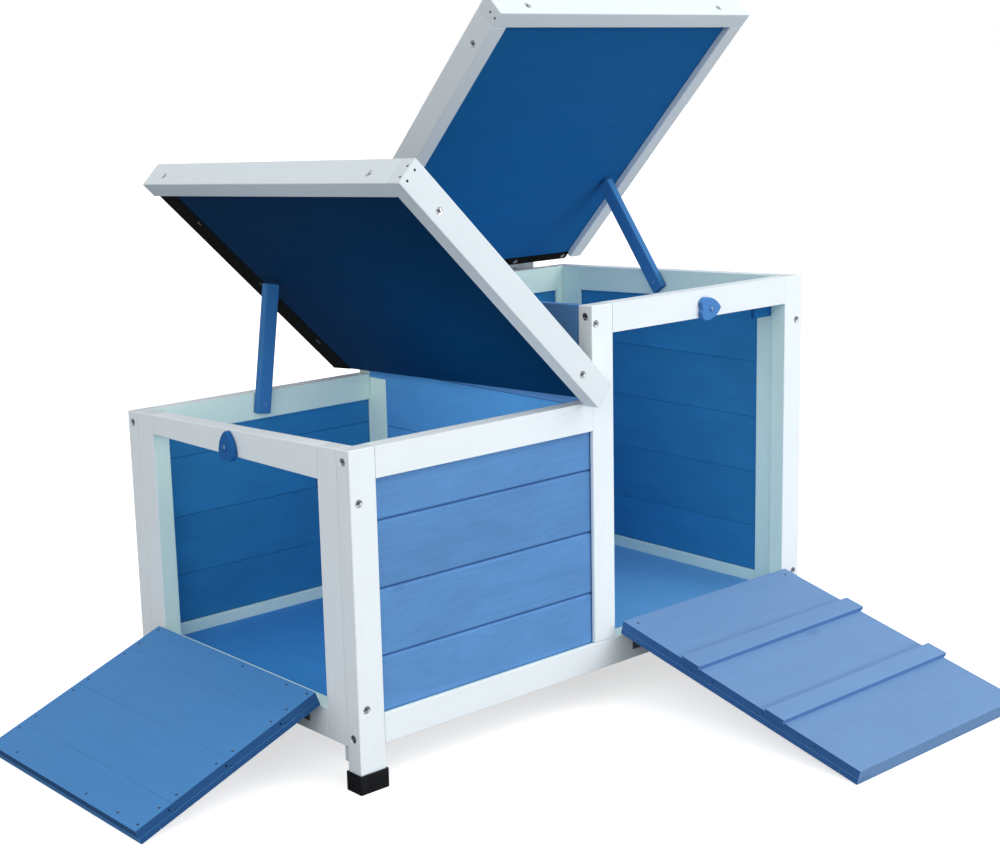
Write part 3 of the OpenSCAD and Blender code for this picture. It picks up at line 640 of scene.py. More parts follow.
@dataclass(frozen=True)
class Cabin:
    """The space inside the walls, in millimetres, whose faces take the painted light and shade of the cabins.
    """

    low: Triple = (-13.9, -8.9, 40.0)
    high: Triple = (586.9, 350.0, 400.0)
    reveal: float = 2.0
    left: float = 0.0
    right: float = 570.0
    front: float = 9.0
    back: float = 335.0
    step: Triple = (260.0, 290.0, 312.0)
    brim: float = 250.0

    def holds(self, face: Face) -> bool:
        """Tell whether a face looks into the house.

        Args:
            face: The face.

        Returns:
            True if it lies between the walls and doesn't look outwards.
        """
        way = face.normal
        point = face.calc_center_median() / MM + way * self.reveal
        inner = all(lo < c < hi for lo, c, hi in zip(self.low, point, self.high))
        near, far, over = self.step
        outward = (
            way.x < -0.9 and point.x < self.left,
            way.x > 0.9 and point.x > self.right,
            way.y < -0.3 and point.y < self.front,
            way.y > 0.3 and point.y > self.back,
            way.x < -0.9 and near < point.x < far and point.z > over,
            way.z > 0.7 and point.z > self.brim,
        )
        return inner and not any(outward)

    def inward(self, core: float, point: Vector, through: Vector) -> bool:
        """Tell whether a point lies further into the house than the core of its wall does."""
        middle = (Vector(self.low) + Vector(self.high)).dot(through) / 2 * MM
        return abs(point.dot(through) - middle) < abs(core - middle)


CABIN = Cabin()


@dataclass(frozen=True)
class Timber:
    """A wooden member: its CAD node, the way its grain runs, its finish and its arris."""

    node: str
    along: Vector
    through: Vector
    finish: Finish = Finish.WHITE
    slot: str = "white_paint"
    body: str = "house"
    arris: float = 0.9
    shortest: float = 4.0
    # Share of the painted cabin light and shade on the faces inside the cabins.
    cabin_light_share: float = 1.0
    tight: bool = False
    # Share of the darker end-grain colour on side faces: painted shade on edges that face away from the
    # light.
    shaded_edges: float = 0.0
    wall: bool = False
    joint_gap: float = 0.28
    joint_layer: float = 0.05

    def build(self) -> Piece:
        """Copy the node, soften its arrises and mark its timber for the paint.

        Returns:
            The finished piece, which replaces its node.
        """
        bm = merged_copy(self.node)
        joints = self.through.cross(self.along).normalized() if self.tight else None
        if joints:
            self.close_joints(bm, joints)
        rounded = soften(bm, self.arris, self.shortest, joints)
        self.mark(bm, rounded)
        return finish_piece(bm, f"{self.node}_wood", (self.finish,), self.body, self.slot, self.node)

    def close_joints(self, bm: Mesh, way: Vector) -> None:
        """Let each board's grooved edge meet the board before it, as paint fills a tight joint.

        Args:
            bm: The boards.
            way: Direction across the joints.
        """
        boards = [(min(vert.co.dot(way) for vert in group), group) for group in islands(bm)]
        first = min(low for low, _ in boards)
        for low, group in boards:
            if low > first + 1.0 * MM:
                for vert in group:
                    if vert.co.dot(way) < low + self.joint_layer * MM:
                        vert.co -= way * self.joint_gap * MM

    def mark(self, bm: Mesh, rounded: set[Face]) -> None:
        """Write the place along the grain, the tone of each board, and the marks of arris, of end grain or
        painted edge shade, and of painted cabin light and shade.

        Args:
            bm: The mesh.
            rounded: Faces of the rounded arrises.
        """
        place = bm.verts.layers.float_vector.new(TIMBER_PLACE)
        tone = bm.verts.layers.float.new(TIMBER_TONE)
        marks = bm.faces.layers.float_vector.new(TIMBER_MARKS)
        along = self.along.normalized()
        through = self.through.normalized()
        across = through.cross(along)
        chance = random.Random(zlib.crc32(self.node.encode()))
        for group in islands(bm):
            shift = Vector([chance.uniform(0.0, 6.0) for _ in range(3)])
            shade = chance.random()
            for vert in group:
                vert[place] = Vector((vert.co.dot(along), vert.co.dot(across), vert.co.dot(through))) + shift
                vert[tone] = shade
        bm.normal_update()
        core = [face.calc_center_median().dot(through) for face in bm.faces]
        core = (min(core) + max(core)) / 2
        for face in bm.faces:
            end = float(abs(face.normal.dot(along)) > SQUARE_ON)
            # Painted shade: side faces across the grain can take the darker end-grain colour.
            edge = self.shaded_edges * (abs(face.normal.dot(across)) > SQUARE_ON)
            # Faces inside the cabins take the painted cabin light and shade.
            inside = CABIN.holds(face)
            if self.wall and abs(face.normal.dot(through)) < 0.9:
                inside = CABIN.inward(core, face.calc_center_median(), through)
            face[marks] = Vector((float(face in rounded), max(end, edge), self.cabin_light_share * inside))


ROOF_SLOPE = math.atan(13.5 / 362)


def drawn_frame(body: str) -> Matrix:
    """Find the frame that a roof or a ramp is drawn in, from its packed joint.

    Args:
        body: Body of the roof or the ramp.

    Returns:
        A roof's frame has x to its hinge and z out of the felt. A ramp's has x into the house and z up once
        it is closed.
    """
    pin = next(row for row in frame["joints"] if row["name"] == f"{body}_hinge")
    roof = body.endswith("roof")
    swing = math.radians(-pin["range_deg"][0 if roof else 1])
    quarter = math.pi / 2 if body in ("tall_roof", "right_ramp") else 0.0
    turn = Matrix.Rotation(-ROOF_SLOPE if roof else 0.0, 4, "X") @ Matrix.Rotation(quarter, 4, "Z")
    return Matrix.Translation(Vector(pin["pos_m"])) @ (turn @ Matrix.Rotation(swing, 4, "Y"))


def seat(at: Matrix, point: Sequence[float], facing: Sequence[float], turn: float = 0.0) -> Matrix:
    """Place a small part on a face.

    Args:
        at: Frame that the point is given in.
        point: Point on the face in millimetres.
        facing: Direction out of the face, in the same frame.
        turn: Turn about that direction in degrees.

    Returns:
        A matrix that takes the part's base to the point and its z axis to that direction.
    """
    rotation = Vector(facing).to_track_quat("Z", "Y").to_matrix().to_4x4()
    spin = Matrix.Rotation(math.radians(turn), 4, "Z")
    return at @ Matrix.Translation(Vector(point) * MM) @ rotation @ spin


def set_out(name: str, body: str, part: Callable, places: Iterable[Matrix], *finishes: Finish) -> Piece:
    """Repeat one small steel part at many places, as one mesh.

    Args:
        name: Name of the piece.
        body: Body that it rides on.
        part: Function that makes the small part with its base at the origin.
        places: Where each copy goes.
        *finishes: Finishes of the part.

    Returns:
        The finished piece.
    """
    pattern = bpy.data.meshes.new(f"{name}_pattern")
    single = part()
    single.to_mesh(pattern)
    single.free()
    bm = bmesh.new()
    for matrix in places:
        before = len(bm.verts)
        bm.from_mesh(pattern)
        bm.verts.ensure_lookup_table()
        bmesh.ops.transform(bm, matrix=matrix, verts=bm.verts[before:])
    bpy.data.meshes.remove(pattern)
    return finish_piece(bm, name, finishes, body, "screw_steel")


# Small parts


@dataclass(frozen=True)
class CrossRecess:
    """A crosshead driver recess, cut into a screw's flat head, which sits a little below its rim."""

    reach: float = 2.1
    width: float = 0.85
    depth: float = 1.1
    rim: float = 0.2
    sunk: float = 0.35
    taper: float = 0.6

    def cut(self, bm: Mesh, head: Face, turn: float) -> None:
        """Sink the head and cut the cross into it. The recess takes the second finish.

        Args:
            bm: The screw's mesh.
            head: Flat face of its head.
            turn: Turn of the cross about the screw's axis in radians.
        """
        bmesh.ops.inset_region(bm, faces=[head], thickness=self.rim * MM, depth=-self.sunk * MM)
        centre, out = head.calc_center_median(), head.normal.copy()
        first = Matrix.Rotation(turn, 3, out) @ out.orthogonal().normalized()
        ways = (first, out.cross(first))
        faces = [head]
        for way in ways:
            for offset in (-self.reach, -self.width / 2, self.width / 2, self.reach):
                geom = list({item for face in faces for item in (face, *face.edges, *face.verts)})
                place = centre + way * offset * MM
                made = bmesh.ops.bisect_plane(bm, geom=geom, plane_co=place, plane_no=way)
                faces = [item for item in made["geom"] if isinstance(item, Face)]
        cross = [face for face in faces if self.holds(face.calc_center_median() - centre, ways)]
        made = bmesh.ops.extrude_face_region(bm, geom=cross)
        bmesh.ops.delete(bm, geom=cross, context="FACES")
        for item in made["geom"]:
            if isinstance(item, bmesh.types.BMVert):
                item.co = centre - out * self.depth * MM + (item.co - centre) * self.taper
            elif isinstance(item, Face):
                item.material_index = 1
                for edge in item.edges:
                    for face in edge.link_faces:
                        face.material_index = 1

    def holds(self, place: Vector, ways: Sequence[Vector]) -> bool:
        """Tell whether a face's centre, seen from the head's, lies in one of the cross's two bars."""
        x, y = (abs(place.dot(way)) / MM for way in ways)
        return x < self.width / 2 and y < self.reach or y < self.width / 2 and x < self.reach


def turned(profile: Sequence[tuple[float, float]], steps: int) -> Mesh:
    """Spin a profile round the z axis into a closed solid.

    Args:
        profile: Radius and height of each point in millimetres, from the lower axis point to the upper one.
        steps: Number of facets round.

    Returns:
        The mesh.
    """
    bm = bmesh.new()
    points = [bm.verts.new((radius * MM, 0.0, height * MM)) for radius, height in profile]
    edges = [bm.edges.new(pair) for pair in zip(points, points[1:])]
    geom = points + edges
    bmesh.ops.spin(bm, geom=geom, cent=(0, 0, 0), axis=(0, 0, 1), angle=math.tau, steps=steps, use_merge=True)
    bmesh.ops.remove_doubles(bm, verts=bm.verts, dist=0.001 * MM)
    bmesh.ops.recalc_face_normals(bm, faces=bm.faces)
    return bm


@dataclass(frozen=True)
class DrivenScrews:
    """The screws of one CAD node, with their crosshead recesses."""

    node: str
    body: str = "house"
    recess: CrossRecess = CrossRecess()
    head: Finish = Finish.SCREW
    # The recess takes the dark zinc, painted shade in the hollow of the cross.
    inside: Finish = Finish.RECESS_SHADE

    def build(self) -> Piece:
        """Cut a recess into the head of each screw, which is its widest flat face.

        Returns:
            The finished piece, which replaces its node.
        """
        bm = merged_copy(self.node)
        chance = random.Random(zlib.crc32(self.node.encode()))
        for group in islands(bm):
            faces = {face for vert in group for face in vert.link_faces}
            head = max(faces, key=lambda face: face.calc_area())
            self.recess.cut(bm, head, chance.uniform(0.0, math.tau))
        finishes = (self.head, self.inside)
        return finish_piece(bm, f"{self.node}_driven", finishes, self.body, "screw_steel", self.node)


@dataclass(frozen=True)
class Fasteners:
    """The nails, staples and small hinge screws that only the looks have."""

    nail: float = 1.5
    clout: float = 3.2
    crown: float = 6.0
    wire: float = 0.9
    bent: float = 0.3
    leaf_head: float = 2.5
    leaf_recess: CrossRecess = CrossRecess(1.1, 0.5, 0.5, 0.1, 0.0)

    def wire_nail(self) -> Mesh:
        """Make the small flat head of a wire nail, set level with the paint."""
        rim = (self.nail, -0.03), (self.nail - 0.3, 0.02)
        return turned([(0, -0.6), (self.nail - 0.2, -0.6), *rim, (0, 0.03)], 12)

    def clout_nail(self) -> Mesh:
        """Make the broad flat head of a clout nail, driven level with the felt that it holds."""
        rim = (self.clout, -0.25), (self.clout - 0.2, 0.02)
        return turned([(0, -0.9), (1.2, -0.9), *rim, (0, 0.05)], 14)

    def leaf_screw(self) -> Mesh:
        """Make the domed crosshead screw of a hinge leaf.

        Returns:
            The screw.
        """
        r = self.leaf_head
        bm = turned([(0, -0.4), (r, -0.4), (r, 0.2), (r * 0.85, 0.6), (r * 0.6, 0.8), (0, 0.8)], 16)
        bmesh.ops.dissolve_limit(bm, angle_limit=FLAT, verts=bm.verts, edges=bm.edges)
        top = max(bm.faces, key=lambda face: face.calc_center_median().z)
        self.leaf_recess.cut(bm, top, 0.6)
        return bm

    def staple(self) -> Mesh:
        """Make the crown of a fine staple, bent down over the last share of each half.

        Returns:
            The staple.
        """
        bm = bmesh.new()
        size = Matrix.Diagonal((self.crown * MM, self.wire * MM, 0.4 * MM, 1.0))
        bmesh.ops.create_cube(bm, size=1.0, matrix=size)
        long = [edge for edge in bm.edges if edge.calc_length() > self.crown * 0.9 * MM]
        bmesh.ops.subdivide_edges(bm, edges=long, cuts=6)
        for vert in bm.verts:
            share = abs(vert.co.x) / (self.crown / 2 * MM)
            vert.co.z += 0.1 * MM - 0.5 * MM * max(0.0, share - (1 - self.bent)) / self.bent
        rims = [edge for edge in bm.edges if edge.calc_face_angle(0.0) > 1.0]
        bmesh.ops.bevel(bm, geom=rims, offset=0.15 * MM, affect="EDGES", segments=1, profile=0.5, material=-1)
        return bm


PARTS = Fasteners()


def leaf_seats(node: str, facing: Vector | None, step: float = 16.0) -> list[Matrix]:
    """Find where a hinge's leaf screws go: two on each leaf's shown face.

    Args:
        node: CAD node of the hinge leaves.
        facing: Way that the shown face looks, or nothing where its knuckles stand out from it.
        step: Distance of each screw from the leaf's middle in millimetres.

    Returns:
        One matrix for each screw.
    """
    bm = merged_copy(node)
    seats = []
    for group in islands(bm):
        faces = {face for vert in group for face in vert.link_faces}
        middle = sum((vert.co for vert in group), Vector()) / len(group)
        widest = max(face.calc_area() for face in faces)
        broad = [face for face in faces if face.calc_area() > widest * 0.7]
        shown = max(broad, key=lambda face: face.normal.dot(facing or middle - face.calc_center_median()))
        rim = max(shown.edges, key=lambda edge: edge.calc_length())
        way = (rim.verts[1].co - rim.verts[0].co).normalized()
        centre = shown.calc_center_median_weighted() / MM
        seats += [seat(Matrix(), centre + way * side, shown.normal) for side in (-step, step)]
    bm.free()
    return seats


def solids(node: str, at: Matrix) -> list[tuple[Vector, Vector]]:
    """Measure the solids of a CAD node.

    Args:
        node: Name of the CAD node.
        at: Frame to measure in.

    Returns:
        Each solid's low and high corner in millimetres.
    """
    bm = merged_copy(node)
    bmesh.ops.transform(bm, matrix=at.inverted(), verts=bm.verts)
    boxes = []
    for group in islands(bm):
        places = [vert.co / MM for vert in group]
        low, high = (Vector([pick(place[i] for place in places) for i in range(3)]) for pick in (min, max))
        boxes.append((low, high))
    bm.free()
    return boxes


# Sub-assemblies


@dataclass
class HouseFrame:
    """The white frame of posts, rails and stiles."""

    rows: tuple[str, ...] = ("bottom", "low_top", "tall_top")
    arris: float = 0.9

    def build(self) -> list[Piece]:
        """Build every member of the frame.

        Returns:
            The pieces.
        """
        sides, places = ("front", "back"), ("left", "middle", "right")
        members = [Timber(f"{side}_{place}_post", Z, Y) for side in sides for place in places]
        # The middle front post takes none of the painted cabin light and shade.
        members[1] = replace(members[1], cabin_light_share=0.0)
        members += [Timber(f"{side}_{row}_rail", X, Y) for side in sides for row in self.rows]
        members += [Timber(f"{end}_stiles", Z, X) for end in ("left_end", "right_end", "partition")]
        rails = ("left_end_rails", "right_end_rails", "partition_bottom_rail")
        members += [Timber(rail, Y, X) for rail in rails]
        members += [Timber("corner_blocks", Z, X), Timber("floor_ledgers", X, Y)]
        # The stop blocks take the darker, shaded copy of the blue paint.
        members.append(Timber("stop_blocks", Z, X, Finish.SHADED_ROOF_BLUE, "blue_paint"))
        return [replace(member, arris=self.arris).build() for member in members]


@dataclass
class WallPanels:
    """The blue tongue and groove boards of the walls, and the floors."""

    arris: float = 0.3

    def build(self) -> list[Piece]:
        """Build the boards.

        Returns:
            The pieces.
        """
        rows = [("front_boards", X, Y), ("back_low_boards", X, Y), ("back_tall_boards", X, Y)]
        rows += [("right_end_boards", Y, X), ("partition_boards", Y, X)]
        paint = (Finish.WALL_BLUE, "blue_paint", "house", self.arris)
        boards = [Timber(*row, *paint, wall=True) for row in rows]
        boards[-1] = replace(boards[-1], finish=Finish.PARTITION_LIT_BLUE, wall=False)
        # The floors take the ramps' lit and shaded copies of one paint.
        for node, finish in (("low_floor", Finish.LEFT_RAMP_SHADED_BLUE), ("tall_floor", Finish.RIGHT_RAMP_LIT_BLUE)):
            boards.append(Timber(node, Y, Z, finish, "ramp_blue_paint", "house", self.arris))
        return [board.build() for board in boards]


@dataclass
class Roof:
    """A roof: its panel, its fascias, its felt, and what holds them."""

    body: str
    underside: Finish
    fascias: tuple[tuple[str, Vector, Vector], ...]
    turned_under: float = 0.0
    strip_top: float = -8.9
    strip_thin: float = -9.3
    arris: float = 1.0
    panel_arris: float = 0.5

    def build(self) -> list[Piece]:
        """Build the roof's wood, felt, screws and nails.

        Returns:
            The pieces.
        """
        turn = self.at.to_3x3()
        panel = (f"{self.body}_panel", turn @ Y, turn @ Z, self.underside, "blue_paint", self.body)
        woods = [Timber(*panel, self.panel_arris)]
        for node, along, through in self.fascias:
            wood = Timber(node, turn @ along, turn @ through, Finish.SHADED_WHITE_FASCIA)
            woods.append(replace(wood, body=self.body, arris=self.arris))
        return [wood.build() for wood in woods] + [
            self.felt(),
            DrivenScrews(f"{self.body}_screws", self.body).build(),
            set_out(f"{self.body}_corner_nails", self.body, PARTS.wire_nail, self.nails(), Finish.NAIL),
            self.felt_fasteners(),
        ]

    @property
    def at(self) -> Matrix:
        """Return the frame that the roof is drawn in."""
        return drawn_frame(self.body)

    def felt(self) -> Piece:
        """Copy the roof's felt with softly folded edges, and thin out the strip that is turned in.

        Returns:
            The felt.
        """
        node, at = f"{self.body}_felt", self.at
        bm = merged_copy(node)
        bmesh.ops.transform(bm, matrix=at.inverted(), verts=bm.verts)
        under = [vert for vert in bm.verts if vert.co.z < self.strip_top * MM]
        inner = min(vert.co.y for vert in under)
        for vert in under:
            if vert.co.y < inner + 0.1 * MM and self.turned_under:
                vert.co.y -= self.turned_under * MM
                vert.co.z = max(vert.co.z, self.strip_thin * MM)
        bmesh.ops.transform(bm, matrix=at, verts=bm.verts)
        soften(bm, 0.5, 3.0)
        return finish_piece(bm, f"{node}_sheet", (Finish.FELT,), self.body, "roof_felt", node)


@dataclass
class LowRoof(Roof):
    """The low roof, whose felt is stapled under its back edge."""

    body: str = "low_roof"
    underside: Finish = Finish.SHADED_LOW_ROOF_BLUE
    fascias: tuple[tuple[str, Vector, Vector], ...] = (("low_front_fascia", X, Y), ("low_end_fascia", Y, X))
    turned_under: float = 14.0
    nail_heights: tuple[float, float] = (7.3, 19.4)
    nail_in: tuple[float, float] = (5.6, 4.0)
    staple_step: float = 96.0
    staple_in: float = 22.0
    staple_sunk: float = 0.55
    staple_turn: float = 8.0

    def nails(self) -> list[Matrix]:
        """Place two pairs of nails round the corner of the front and the end fascia.

        Returns:
            Where the nails go.
        """
        at = self.at
        corner = solids("low_front_fascia", at)[0][0]
        along, deep = self.nail_in
        heights = [corner.z + height for height in self.nail_heights]
        rows = [seat(at, (corner.x + along, corner.y, z), -Y) for z in heights]
        return rows + [seat(at, (corner.x, corner.y + deep, z - 0.4), -X) for z in heights]

    def felt_fasteners(self) -> Piece:
        """Set staples along the strip of felt that is turned under the back edge.

        Returns:
            The staples.
        """
        at = self.at
        low, high = solids("low_roof_felt", at)[0]
        count = round((high.x - low.x) / self.staple_step)
        step = (high.x - low.x) / count
        places = []
        for i in range(count):
            place = (low.x + (i + 0.5) * step, high.y - self.staple_in, low.z + self.staple_sunk)
            places.append(seat(at, place, -Z, self.staple_turn * (-1) ** i))
        return set_out("low_roof_felt_staples", self.body, PARTS.staple, places, Finish.STAPLE)


@dataclass
class TallRoof(Roof):
    """The tall roof, whose felt is nailed under its hinge edge."""

    body: str = "tall_roof"
    underside: Finish = Finish.SHADED_ROOF_BLUE
    fascias: tuple[tuple[str, Vector, Vector], ...] = (
        ("tall_front_fascia", Y, X), ("tall_left_fascia", X, Y), ("tall_right_fascia", X, Y)
    )
    nail_depths: tuple[float, float] = (16.0, 24.6)
    nail_in: float = 9.2
    clout_in: tuple[float, float] = (4.6, 7.0)
    clout_gaps: int = 4

    def nails(self) -> list[Matrix]:
        """Place a pair of nails at each end of the front fascia.

        Returns:
            Where the nails go.
        """
        at = self.at
        low, high = solids("tall_front_fascia", at)[0]
        x, heights = low.x + self.nail_in, [high.z - depth for depth in self.nail_depths]
        return [seat(at, (x, y, z), way) for y, way in ((high.y, Y), (low.y, -Y)) for z in heights]

    def felt_fasteners(self) -> Piece:
        """Set the nails of the felt's flap under the hinge edge.

        Returns:
            The nails.
        """
        at = self.at
        low, high = solids("tall_roof_felt", at)[0]
        deep, side = self.clout_in
        step = (high.y - low.y - 2 * side) / self.clout_gaps
        heads = [(high.x - deep, low.y + side + i * step, low.z) for i in range(self.clout_gaps + 1)]
        places = [seat(at, head, -Z) for head in heads]
        return set_out("tall_roof_felt_nails", self.body, PARTS.clout_nail, places, Finish.STAPLE)


@dataclass
class PropSticks:
    """The two sticks that hold the roofs open."""

    low_lean: float = 8.0
    tall_lean: float = 36.0
    arris: float = 1.1

    def build(self) -> list[Piece]:
        """Build both sticks, with the grain along each.

        Returns:
            The pieces.
        """
        low = Matrix.Rotation(math.radians(self.low_lean), 3, "Y") @ Z
        tall = Matrix.Rotation(math.radians(-self.tall_lean), 3, "X") @ Z
        rows = (("low_prop", low, Y), ("tall_prop", tall, X))
        return [Timber(*row, Finish.STICK_BLUE, "blue_paint", row[0], self.arris).build() for row in rows]


@dataclass
class Ramps:
    """The two ramps: boards, battens and cleats."""

    arris: float = 0.35
    nail_in: float = 6.5
    nail_off: float = 9.0
    foot_in: float = 5.0
    top_shares: tuple[float, ...] = (-1.0, -0.74, -0.31, 0.72)
    foot_shares: tuple[float, ...] = (-1.0, -0.75, -0.19, 1.0)
    hinge_nail_in: tuple[float, float] = (11.0, 10.0)

    def build(self) -> list[Piece]:
        """Build both ramps' wood and nails.

        Returns:
            The pieces.
        """
        pieces = []
        # Painted shade: the left ramp boards' and the right ramp cleats' side edges take the darker end-grain
        # colour.
        dark = {"left_ramp_boards": 0.9, "right_ramp_cleats": 0.6}
        left = ("left_ramp", Finish.LEFT_RAMP_SHADED_BLUE, self.left_nails)
        right = ("right_ramp", Finish.RIGHT_RAMP_LIT_BLUE, self.right_nails)
        for body, finish, nails in (left, right):
            at = drawn_frame(body)
            out, wide = at.to_3x3() @ X, at.to_3x3() @ Y
            names = [f"{body}_{part}" for part in ("boards", "battens", "cleats")]
            for node in (name for name in names if name in frame["nodes"]):
                wood = Timber(node, wide, out, finish, "ramp_blue_paint", body, self.arris)
                wood = replace(wood, tight=node.endswith("boards"), shaded_edges=dark.get(node, 0.0))
                pieces.append(wood.build())
            pieces.append(set_out(f"{body}_nails", body, PARTS.wire_nail, nails(at), Finish.NAIL))
        return pieces

    def left_nails(self, at: Matrix) -> list[Matrix]:
        """Place the left ramp's nails: a pair at each end of every joint, and a few along both edges.

        Args:
            at: The ramp's frame.

        Returns:
            Where the nails go.
        """
        boxes = sorted(solids("left_ramp_boards", at), key=lambda box: box[0].z)
        low, high = boxes[0][0], boxes[-1][1]
        joints = [box[0].z for box in boxes[1:]]
        heights = [joint + side for joint in joints for side in (-self.nail_off, self.nail_off)]
        side = high.y - self.nail_in
        rows = [(y, z) for z in heights for y in (-side, side)]
        rows += [(side * share, high.z - self.nail_in) for share in self.top_shares]
        rows += [(side * share, low.z + self.foot_in) for share in self.foot_shares]
        return [seat(at, (high.x, y, z), X) for y, z in rows]

    def right_nails(self, at: Matrix) -> list[Matrix]:
        """Place the right ramp's nails, one at each corner of its hinge edge.

        Args:
            at: The ramp's frame.

        Returns:
            Where the nails go.
        """
        boxes = solids("right_ramp_boards", at)
        low, high = min(box[0].z for box in boxes), boxes[0][1]
        side, up = self.hinge_nail_in
        return [seat(at, (high.x, way * (high.y - side), low + up), X) for way in (-1, 1)]


@dataclass
class TurnButtons:
    """The heart-shaped turn buttons."""

    arris: float = 1.3
    shortest: float = 0.3

    def build(self) -> list[Piece]:
        """Build both hearts."""
        rows = [("low_button", Z, X, Finish.LOW_HEART_SHADED_BLUE), ("tall_button", X, Y, Finish.TALL_HEART_BLUE)]
        return [Timber(*row, "heart_blue_paint", row[0], self.arris, self.shortest).build() for row in rows]


@dataclass
class Feet:
    """The black caps on the feet."""

    node: str = "foot_caps"
    arris: float = 0.7
    shortest: float = 0.2

    def build(self) -> list[Piece]:
        """Build the caps.

        Returns:
            The caps, as one piece.
        """
        bm = merged_copy(self.node)
        soften(bm, self.arris, self.shortest)
        return [finish_piece(bm, f"{self.node}_moulded", (Finish.CAP,), "house", "black_plastic", self.node)]


@dataclass
class Hardware:
    """The hinges as the CAD has them, their leaf screws, and the frame's and the pivots' screws."""

    hinged: tuple[str, ...] = ("low_roof", "tall_roof", "left_ramp", "right_ramp")
    pivot_recess: CrossRecess = CrossRecess(1.3, 0.55, 0.4, 0.15, 0.0)

    def build(self) -> list[Piece]:
        """Dress the hinges, which stay CAD nodes, and build the screws.

        Returns:
            The dressed nodes and the new pieces.
        """
        leaves = [(f"{part}_fixed_hinges", "house", None) for part in self.hinged]
        for part in self.hinged:
            top = drawn_frame(part).to_3x3() @ Z if part.endswith("roof") else None
            leaves.append((f"{part}_moving_hinges", part, top))
        made = []
        for name, body, facing in leaves:
            node = frame["nodes"][name]
            node.data.materials.clear()
            node.data.materials.append(material_of(Finish.HINGE))
            LOG.info("%s: CAD node with %s", name, Finish.HINGE.value.name)
            heads = (leaf_seats(name, facing), Finish.SCREW, Finish.RECESS_SHADE)
            made += [node, set_out(f"{name}_screws", body, PARTS.leaf_screw, *heads)]
        made.append(DrivenScrews("frame_screws").build())
        painted = (self.pivot_recess, Finish.PAINTED_SCREW, Finish.SCREW)
        made.append(DrivenScrews("pivot_screws", "house", *painted).build())
        return made


# Stage


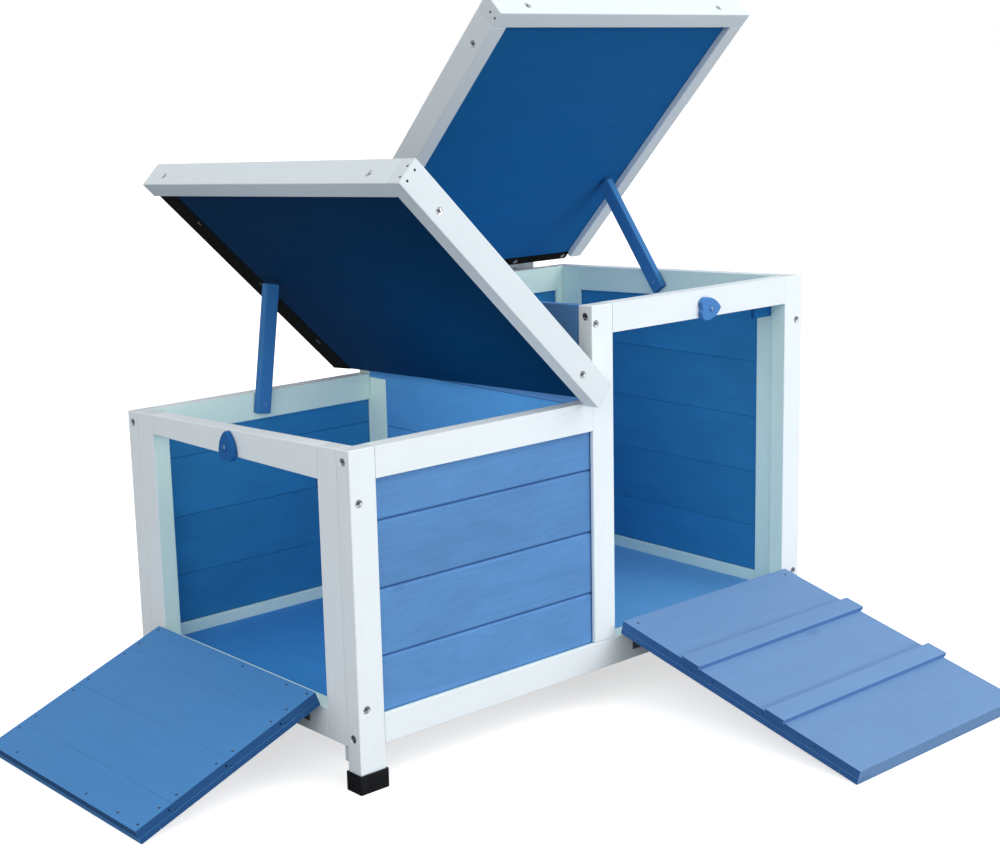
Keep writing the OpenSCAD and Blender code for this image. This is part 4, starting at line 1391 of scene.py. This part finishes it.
@dataclass
class Studio:
    """Pale floor, soft lamps and the camera at the photograph's angle.

    A softbox has its direction from the house, the brightness of a white face that looks straight at it,
    and its side in metres. A fill is a weak lamp that lifts a cabin's shadows as a reflector card would,
    with its place and its brightness at the fills' reach.
    """

    camera_at: Triple = (-845.7, -1131.3, 616.2)
    pitch: float = 0.2055
    roll: float = -0.0218
    yaw: float = -0.7288
    lens: float = 61.56
    sensor: float = 36.0
    floor_side: float = 40000.0
    floor_glow: float = 0.62
    bounce: str = "#8E8E8E"
    white: str = "#FFFFFF"
    world: float = 0.68
    aim: Triple = (290.0, 170.0, 250.0)
    distance: float = 4.0
    softboxes: tuple[tuple[str, Triple, float, float], ...] = (
        ("key", (0.50, -0.55, 0.67), 0.22, 2.4),
        ("front", (0.25, -0.95, 0.1), 0.40, 2.2),
        ("left", (-0.75, -0.5, 0.4), 0.2, 2.6),
        ("top", (-0.1, -0.1, 1.0), 0.06, 2.6),
    )
    fill_reach: float = 0.23
    fill_softness: float = 0.06
    fills: tuple[tuple[str, Triple, float], ...] = (
        ("low_cabin_fill", (120.0, 100.0, 255.0), 0.15),
        ("tall_cabin_fill", (430.0, 130.0, 250.0), 0.06),
    )

    def build(self) -> None:
        """Build the stage."""
        self.floor()
        self.light_world()
        for name, way, level, side in self.softboxes:
            out = Vector(way).normalized()
            turn = out.to_track_quat("Z", "Y").to_matrix().to_4x4()
            at = Matrix.Translation(Vector(self.aim) * MM + out * self.distance) @ turn
            self.lamp(name, "AREA", level * math.pi**2 * self.distance**2, at, size=side)
        for name, place, level in self.fills:
            at = Matrix.Translation(Vector(place) * MM)
            power = level * 4 * math.pi**2 * self.fill_reach**2
            self.lamp(name, "POINT", power, at, shadow_soft_size=self.fill_softness)
        self.camera()
        bpy.context.scene.view_settings.view_transform = "Standard"

    def camera(self) -> None:
        """Set the camera from its pitch, roll and yaw."""
        data = bpy.data.cameras.new("camera")
        data.sensor_fit = "HORIZONTAL"
        data.sensor_width = self.sensor
        data.lens = self.lens
        data.clip_start = 0.05
        data.clip_end = 60.0
        turn = Matrix.Rotation(self.yaw, 4, "Z") @ Matrix.Rotation(math.pi / 2 - self.pitch, 4, "X")
        turn = turn @ Matrix.Rotation(self.roll, 4, "Z")
        at = Matrix.Translation(Vector(self.camera_at) * MM) @ turn
        bpy.context.scene.camera = add_object("camera", data, at)

    def lamp(self, name: str, kind: str, power: float, at: Matrix, **shape: float) -> None:
        """Add a lamp that the camera doesn't see.

        Args:
            name: Name of the lamp.
            kind: The light's type.
            power: Its power in watts.
            at: Where it stands and how it is turned.
            **shape: The light's own sizes in metres.
        """
        data = bpy.data.lights.new(name, kind)
        data.energy = power
        for key, value in shape.items():
            setattr(data, key, value)
        lamp = add_object(name, data, at)
        lamp.visible_camera = False
        lamp.visible_glossy = kind == "AREA"

    def light_world(self) -> None:
        """Give even light from all round, and a white background to the camera and to reflections."""
        world = bpy.data.worlds.new("studio")
        world.use_nodes = True
        world.node_tree.nodes.clear()
        node = partial(add_node, world.node_tree)
        path = node("LightPath")
        seen = path["Is Camera Ray"]
        for ray in ("Is Glossy Ray", "Is Transmission Ray"):
            seen = node("Math", (seen, path[ray]), operation="MAXIMUM")[0]
        strength = node("MapRange", (seen, 0.0, 1.0, self.world, 1.0))[0]
        node("OutputWorld", node("Background", {"Color": to_linear(self.white), "Strength": strength}))
        bpy.context.scene.world = world

    def floor(self) -> None:
        """Lay a pale floor that reads as white and keeps the house's shadow."""
        bm = bmesh.new()
        bmesh.ops.create_grid(bm, x_segments=1, y_segments=1, size=self.floor_side * MM / 2)
        mesh = bpy.data.meshes.new("floor")
        bm.to_mesh(mesh)
        bm.free()
        material, tree = new_material("pale_floor")
        node = partial(add_node, tree)
        path = node("LightPath")["Is Camera Ray"]
        tint = lay_coats(tree, self.bounce, (path, self.white, "MIX"))
        matt = node("BsdfDiffuse", {"Color": tint})[0]
        shine = node("Math", (path, self.floor_glow), operation="MULTIPLY")[0]
        glow = node("Emission", {"Strength": shine})[0]
        node("OutputMaterial", node("AddShader", (matt, glow)))
        mesh.materials.append(material)
        floor = add_object("floor", mesh)


def note_sizes() -> None:
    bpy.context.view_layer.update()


def main() -> None:
    """Build the stage and every sub-assembly in order."""
    logging.basicConfig(level=logging.INFO, format="%(name)s: %(message)s")
    Studio().build()
    assemblies = (HouseFrame, WallPanels, LowRoof, TallRoof, PropSticks, Ramps, TurnButtons, Feet, Hardware)
    for assembly in assemblies:
        pieces = assembly().build()
        LOG.info("%s: %d pieces", assembly.__name__, len(pieces))
    note_sizes()


if __name__ == "__main__":
    main()
